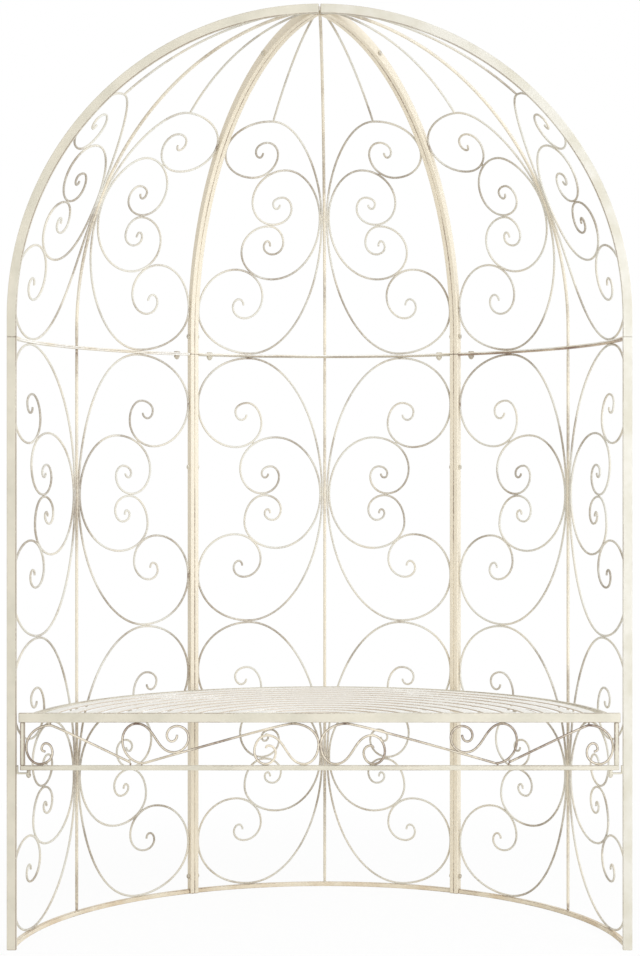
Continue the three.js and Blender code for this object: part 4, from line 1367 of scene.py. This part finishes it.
class ARBOUR_OT_brackets(bpy.types.Operator):
    """Makes the angle brackets that carry the seat, with their spacers and dome nuts"""

    bl_idname = "arbour.brackets"
    bl_label = "Brackets"

    def execute(self, context):
        bars = context.scene.arbour_bars
        seat = context.scene.arbour_seat
        bolts = context.scene.arbour_bolts
        shell = Shell(bars)
        nuts, spacers = [], []
        rail_middle = (SEAT_RAIL_LOW.y + SEAT_RAIL_HIGH.y) / 2
        shelf = APRON_LOW.z - bars.fit_gap - bolts.spacer_height
        under = shelf - bolts.bracket_thickness
        for name, turn in (("right", 0.0), ("left", math.pi)):
            node = f"seat_front_bracket_{name}"
            aside = (rail_middle - shell.axis_y) * math.cos(turn)
            plate = bent_plate(
                shell, bolts.bracket_bend, turn, aside, bolts.front_reach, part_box(node)[1].z,
                under, shelf, bars.tube_width,
            )
            bar_piece(node, "plate", [plate], "enamel_on_bolt", "bolt")
            x = (shell.inner - bolts.front_bolt_reach) * math.cos(turn)
            nuts.append((Vector((x, rail_middle, under)), -UP))
            spacers.append([Vector((x, rail_middle, z)) for z in (shelf, shelf + bolts.spacer_height)])
        shelf = RIM_LOW.z - bars.fit_gap
        under = shelf - bolts.bracket_thickness
        for name, turn, _ in JUNCTIONS:
            plate = bent_plate(
                shell, bolts.bracket_bend, turn, 0, bolts.rear_reach, shelf - bolts.bracket_leg,
                under, shelf, seat.bearer_width,
            )
            bar_piece(f"seat_rear_bracket_{name}", "plate", [plate], "enamel_on_bolt", "bolt")
            nuts.append((shell.placed((RIM_HIGH.x - seat.rim_size / 2, 0, under), turn), -UP))
        bolt_piece(
            "seat_bracket_nuts", nuts, bolts.slim_nut_across, bolts.dome_nut_height / 2, NUT_DOME
        )
        rod_piece(
            "seat_front_bracket_spacers", spacers, (), "enamel_on_bolt", "bolt",
            size=bolts.spacer_across, sides=20,
        )
        return {"FINISHED"}


# Stage


class ARBOUR_OT_stage(bpy.types.Operator):
    """Makes the pale floor, the soft light and the camera"""

    bl_idname = "arbour.stage"
    bl_label = "Stage"

    def execute(self, context):
        stage = context.scene.arbour_stage
        scene = context.scene
        scene.view_settings.view_transform = "Standard"
        camera = add_object("camera", bpy.data.cameras.new("camera"))
        camera.location = (stage.camera_side, POST_LOW.y - stage.camera_distance, stage.camera_height)
        camera.rotation_euler = (math.pi / 2, 0, 0)
        camera.data.lens = stage.lens
        camera.data.sensor_width = FILM_WIDTH
        camera.data.shift_x = stage.shift_x
        camera.data.shift_y = stage.shift_y
        camera.data.clip_end = SIGHT
        scene.camera = camera

        scene.world = bpy.data.worlds.new("soft_light")
        tree = cleared_tree(scene.world)
        ray = add_node(tree, "ShaderNodeLightPath").outputs
        seen = calculate(tree, "MAXIMUM", ray["Is Camera Ray"], ray["Is Glossy Ray"])
        shown = calculate(tree, "MAXIMUM", seen, ray["Is Transmission Ray"])
        soft = add_node(tree, "ShaderNodeBackground", {
            "Color": linear("#F8F9FA"), "Strength": stage.sky_light,
        })
        white = add_node(tree, "ShaderNodeBackground", {"Color": (1, 1, 1, 1), "Strength": 1.0})
        both = add_node(tree, "ShaderNodeMixShader", {"Fac": shown, 1: soft, 2: white})
        add_node(tree, "ShaderNodeOutputWorld", {"Surface": both})

        half = stage.floor_size / 2
        floor_mesh = bpy.data.meshes.new("floor")
        floor_mesh.from_pydata(
            [(-half, -half, 0), (half, -half, 0), (half, half, 0), (-half, half, 0)], [], [(0, 1, 2, 3)]
        )
        floor_mesh.materials.append(self.floor_material())
        floor = add_object("floor", floor_mesh)
        floor.location.z = -FLOOR_DROP

        for name, (place, size, share, tint) in LAMPS.items():
            light = bpy.data.lights.new(name, "AREA")
            light.size = size
            light.energy = stage.key_light * share
            light.color = linear(tint)[:3]
            lamp = add_object(name, light)
            lamp.location = place
            lamp.rotation_euler = (LAMP_AIM - Vector(place)).to_track_quat("-Z", "Y").to_euler()
        return {"FINISHED"}

    @staticmethod
    def floor_material():
        """Pale matt floor. It is white to the camera away from the arbour, and keeps its soft shadow."""
        shadow_reach, white_from, least_white = 0.7, 1.8, 0.93
        material = bpy.data.materials.new("pale_floor")
        tree = cleared_tree(material)
        matt = add_node(tree, "ShaderNodeBsdfDiffuse", {"Color": linear("#F8F7F4")})
        white = add_node(tree, "ShaderNodeEmission", {"Color": (1, 1, 1, 1), "Strength": 1.0})
        where = add_node(tree, "ShaderNodeTexCoord").outputs["Object"]
        away = add_node(tree, "ShaderNodeVectorMath", {0: where}, operation="LENGTH").outputs["Value"]
        whiteness = add_node(tree, "ShaderNodeMapRange", {
            "Value": away, "From Min": shadow_reach, "From Max": white_from, "To Min": least_white,
        }, clamp=True, interpolation_type="SMOOTHSTEP")
        ray = add_node(tree, "ShaderNodeLightPath").outputs
        share = calculate(tree, "MULTIPLY", ray["Is Camera Ray"], whiteness)
        both = add_node(tree, "ShaderNodeMixShader", {"Fac": share, 1: matt, 2: white})
        add_node(tree, "ShaderNodeOutputMaterial", {"Surface": both})
        return material


class ARBOUR_PT_panel(bpy.types.Panel):
    """Lists the arbour's pieces in the sidebar"""

    bl_idname = "ARBOUR_PT_panel"
    bl_label = "Arbour Seat"
    bl_space_type = "VIEW_3D"
    bl_region_type = "UI"
    bl_category = "Arbour"

    def draw(self, context):
        for operator in OPERATORS:
            self.layout.operator(operator.bl_idname)
        for group in GROUPS:
            settings = getattr(context.scene, group)
            for name in settings.__annotations__:
                self.layout.prop(settings, name)


GROUPS = {
    "arbour_bars": ArbourBars, "arbour_seat": ArbourSeat, "arbour_bolts": ArbourBolts,
    "arbour_paint": ArbourPaint, "arbour_stage": ArbourStage,
}
OPERATORS = (
    ARBOUR_OT_stage, ARBOUR_OT_frames, ARBOUR_OT_centre_bars, ARBOUR_OT_scrollwork, ARBOUR_OT_seat,
    ARBOUR_OT_apron, ARBOUR_OT_welds, ARBOUR_OT_bolts, ARBOUR_OT_brackets,
)
CLASSES = (*GROUPS.values(), *OPERATORS, ARBOUR_PT_panel)


def register():
    for cls in CLASSES:
        bpy.utils.register_class(cls)
    for name, group in GROUPS.items():
        setattr(bpy.types.Scene, name, bpy.props.PointerProperty(type=group))


def unregister():
    for name in GROUPS:
        delattr(bpy.types.Scene, name)
    for cls in reversed(CLASSES):
        bpy.utils.unregister_class(cls)


def main():
    register()
    for operator in OPERATORS:
        area, call = operator.bl_idname.split(".")
        getattr(getattr(bpy.ops, area), call)()


if __name__ == "__main__":
    main()
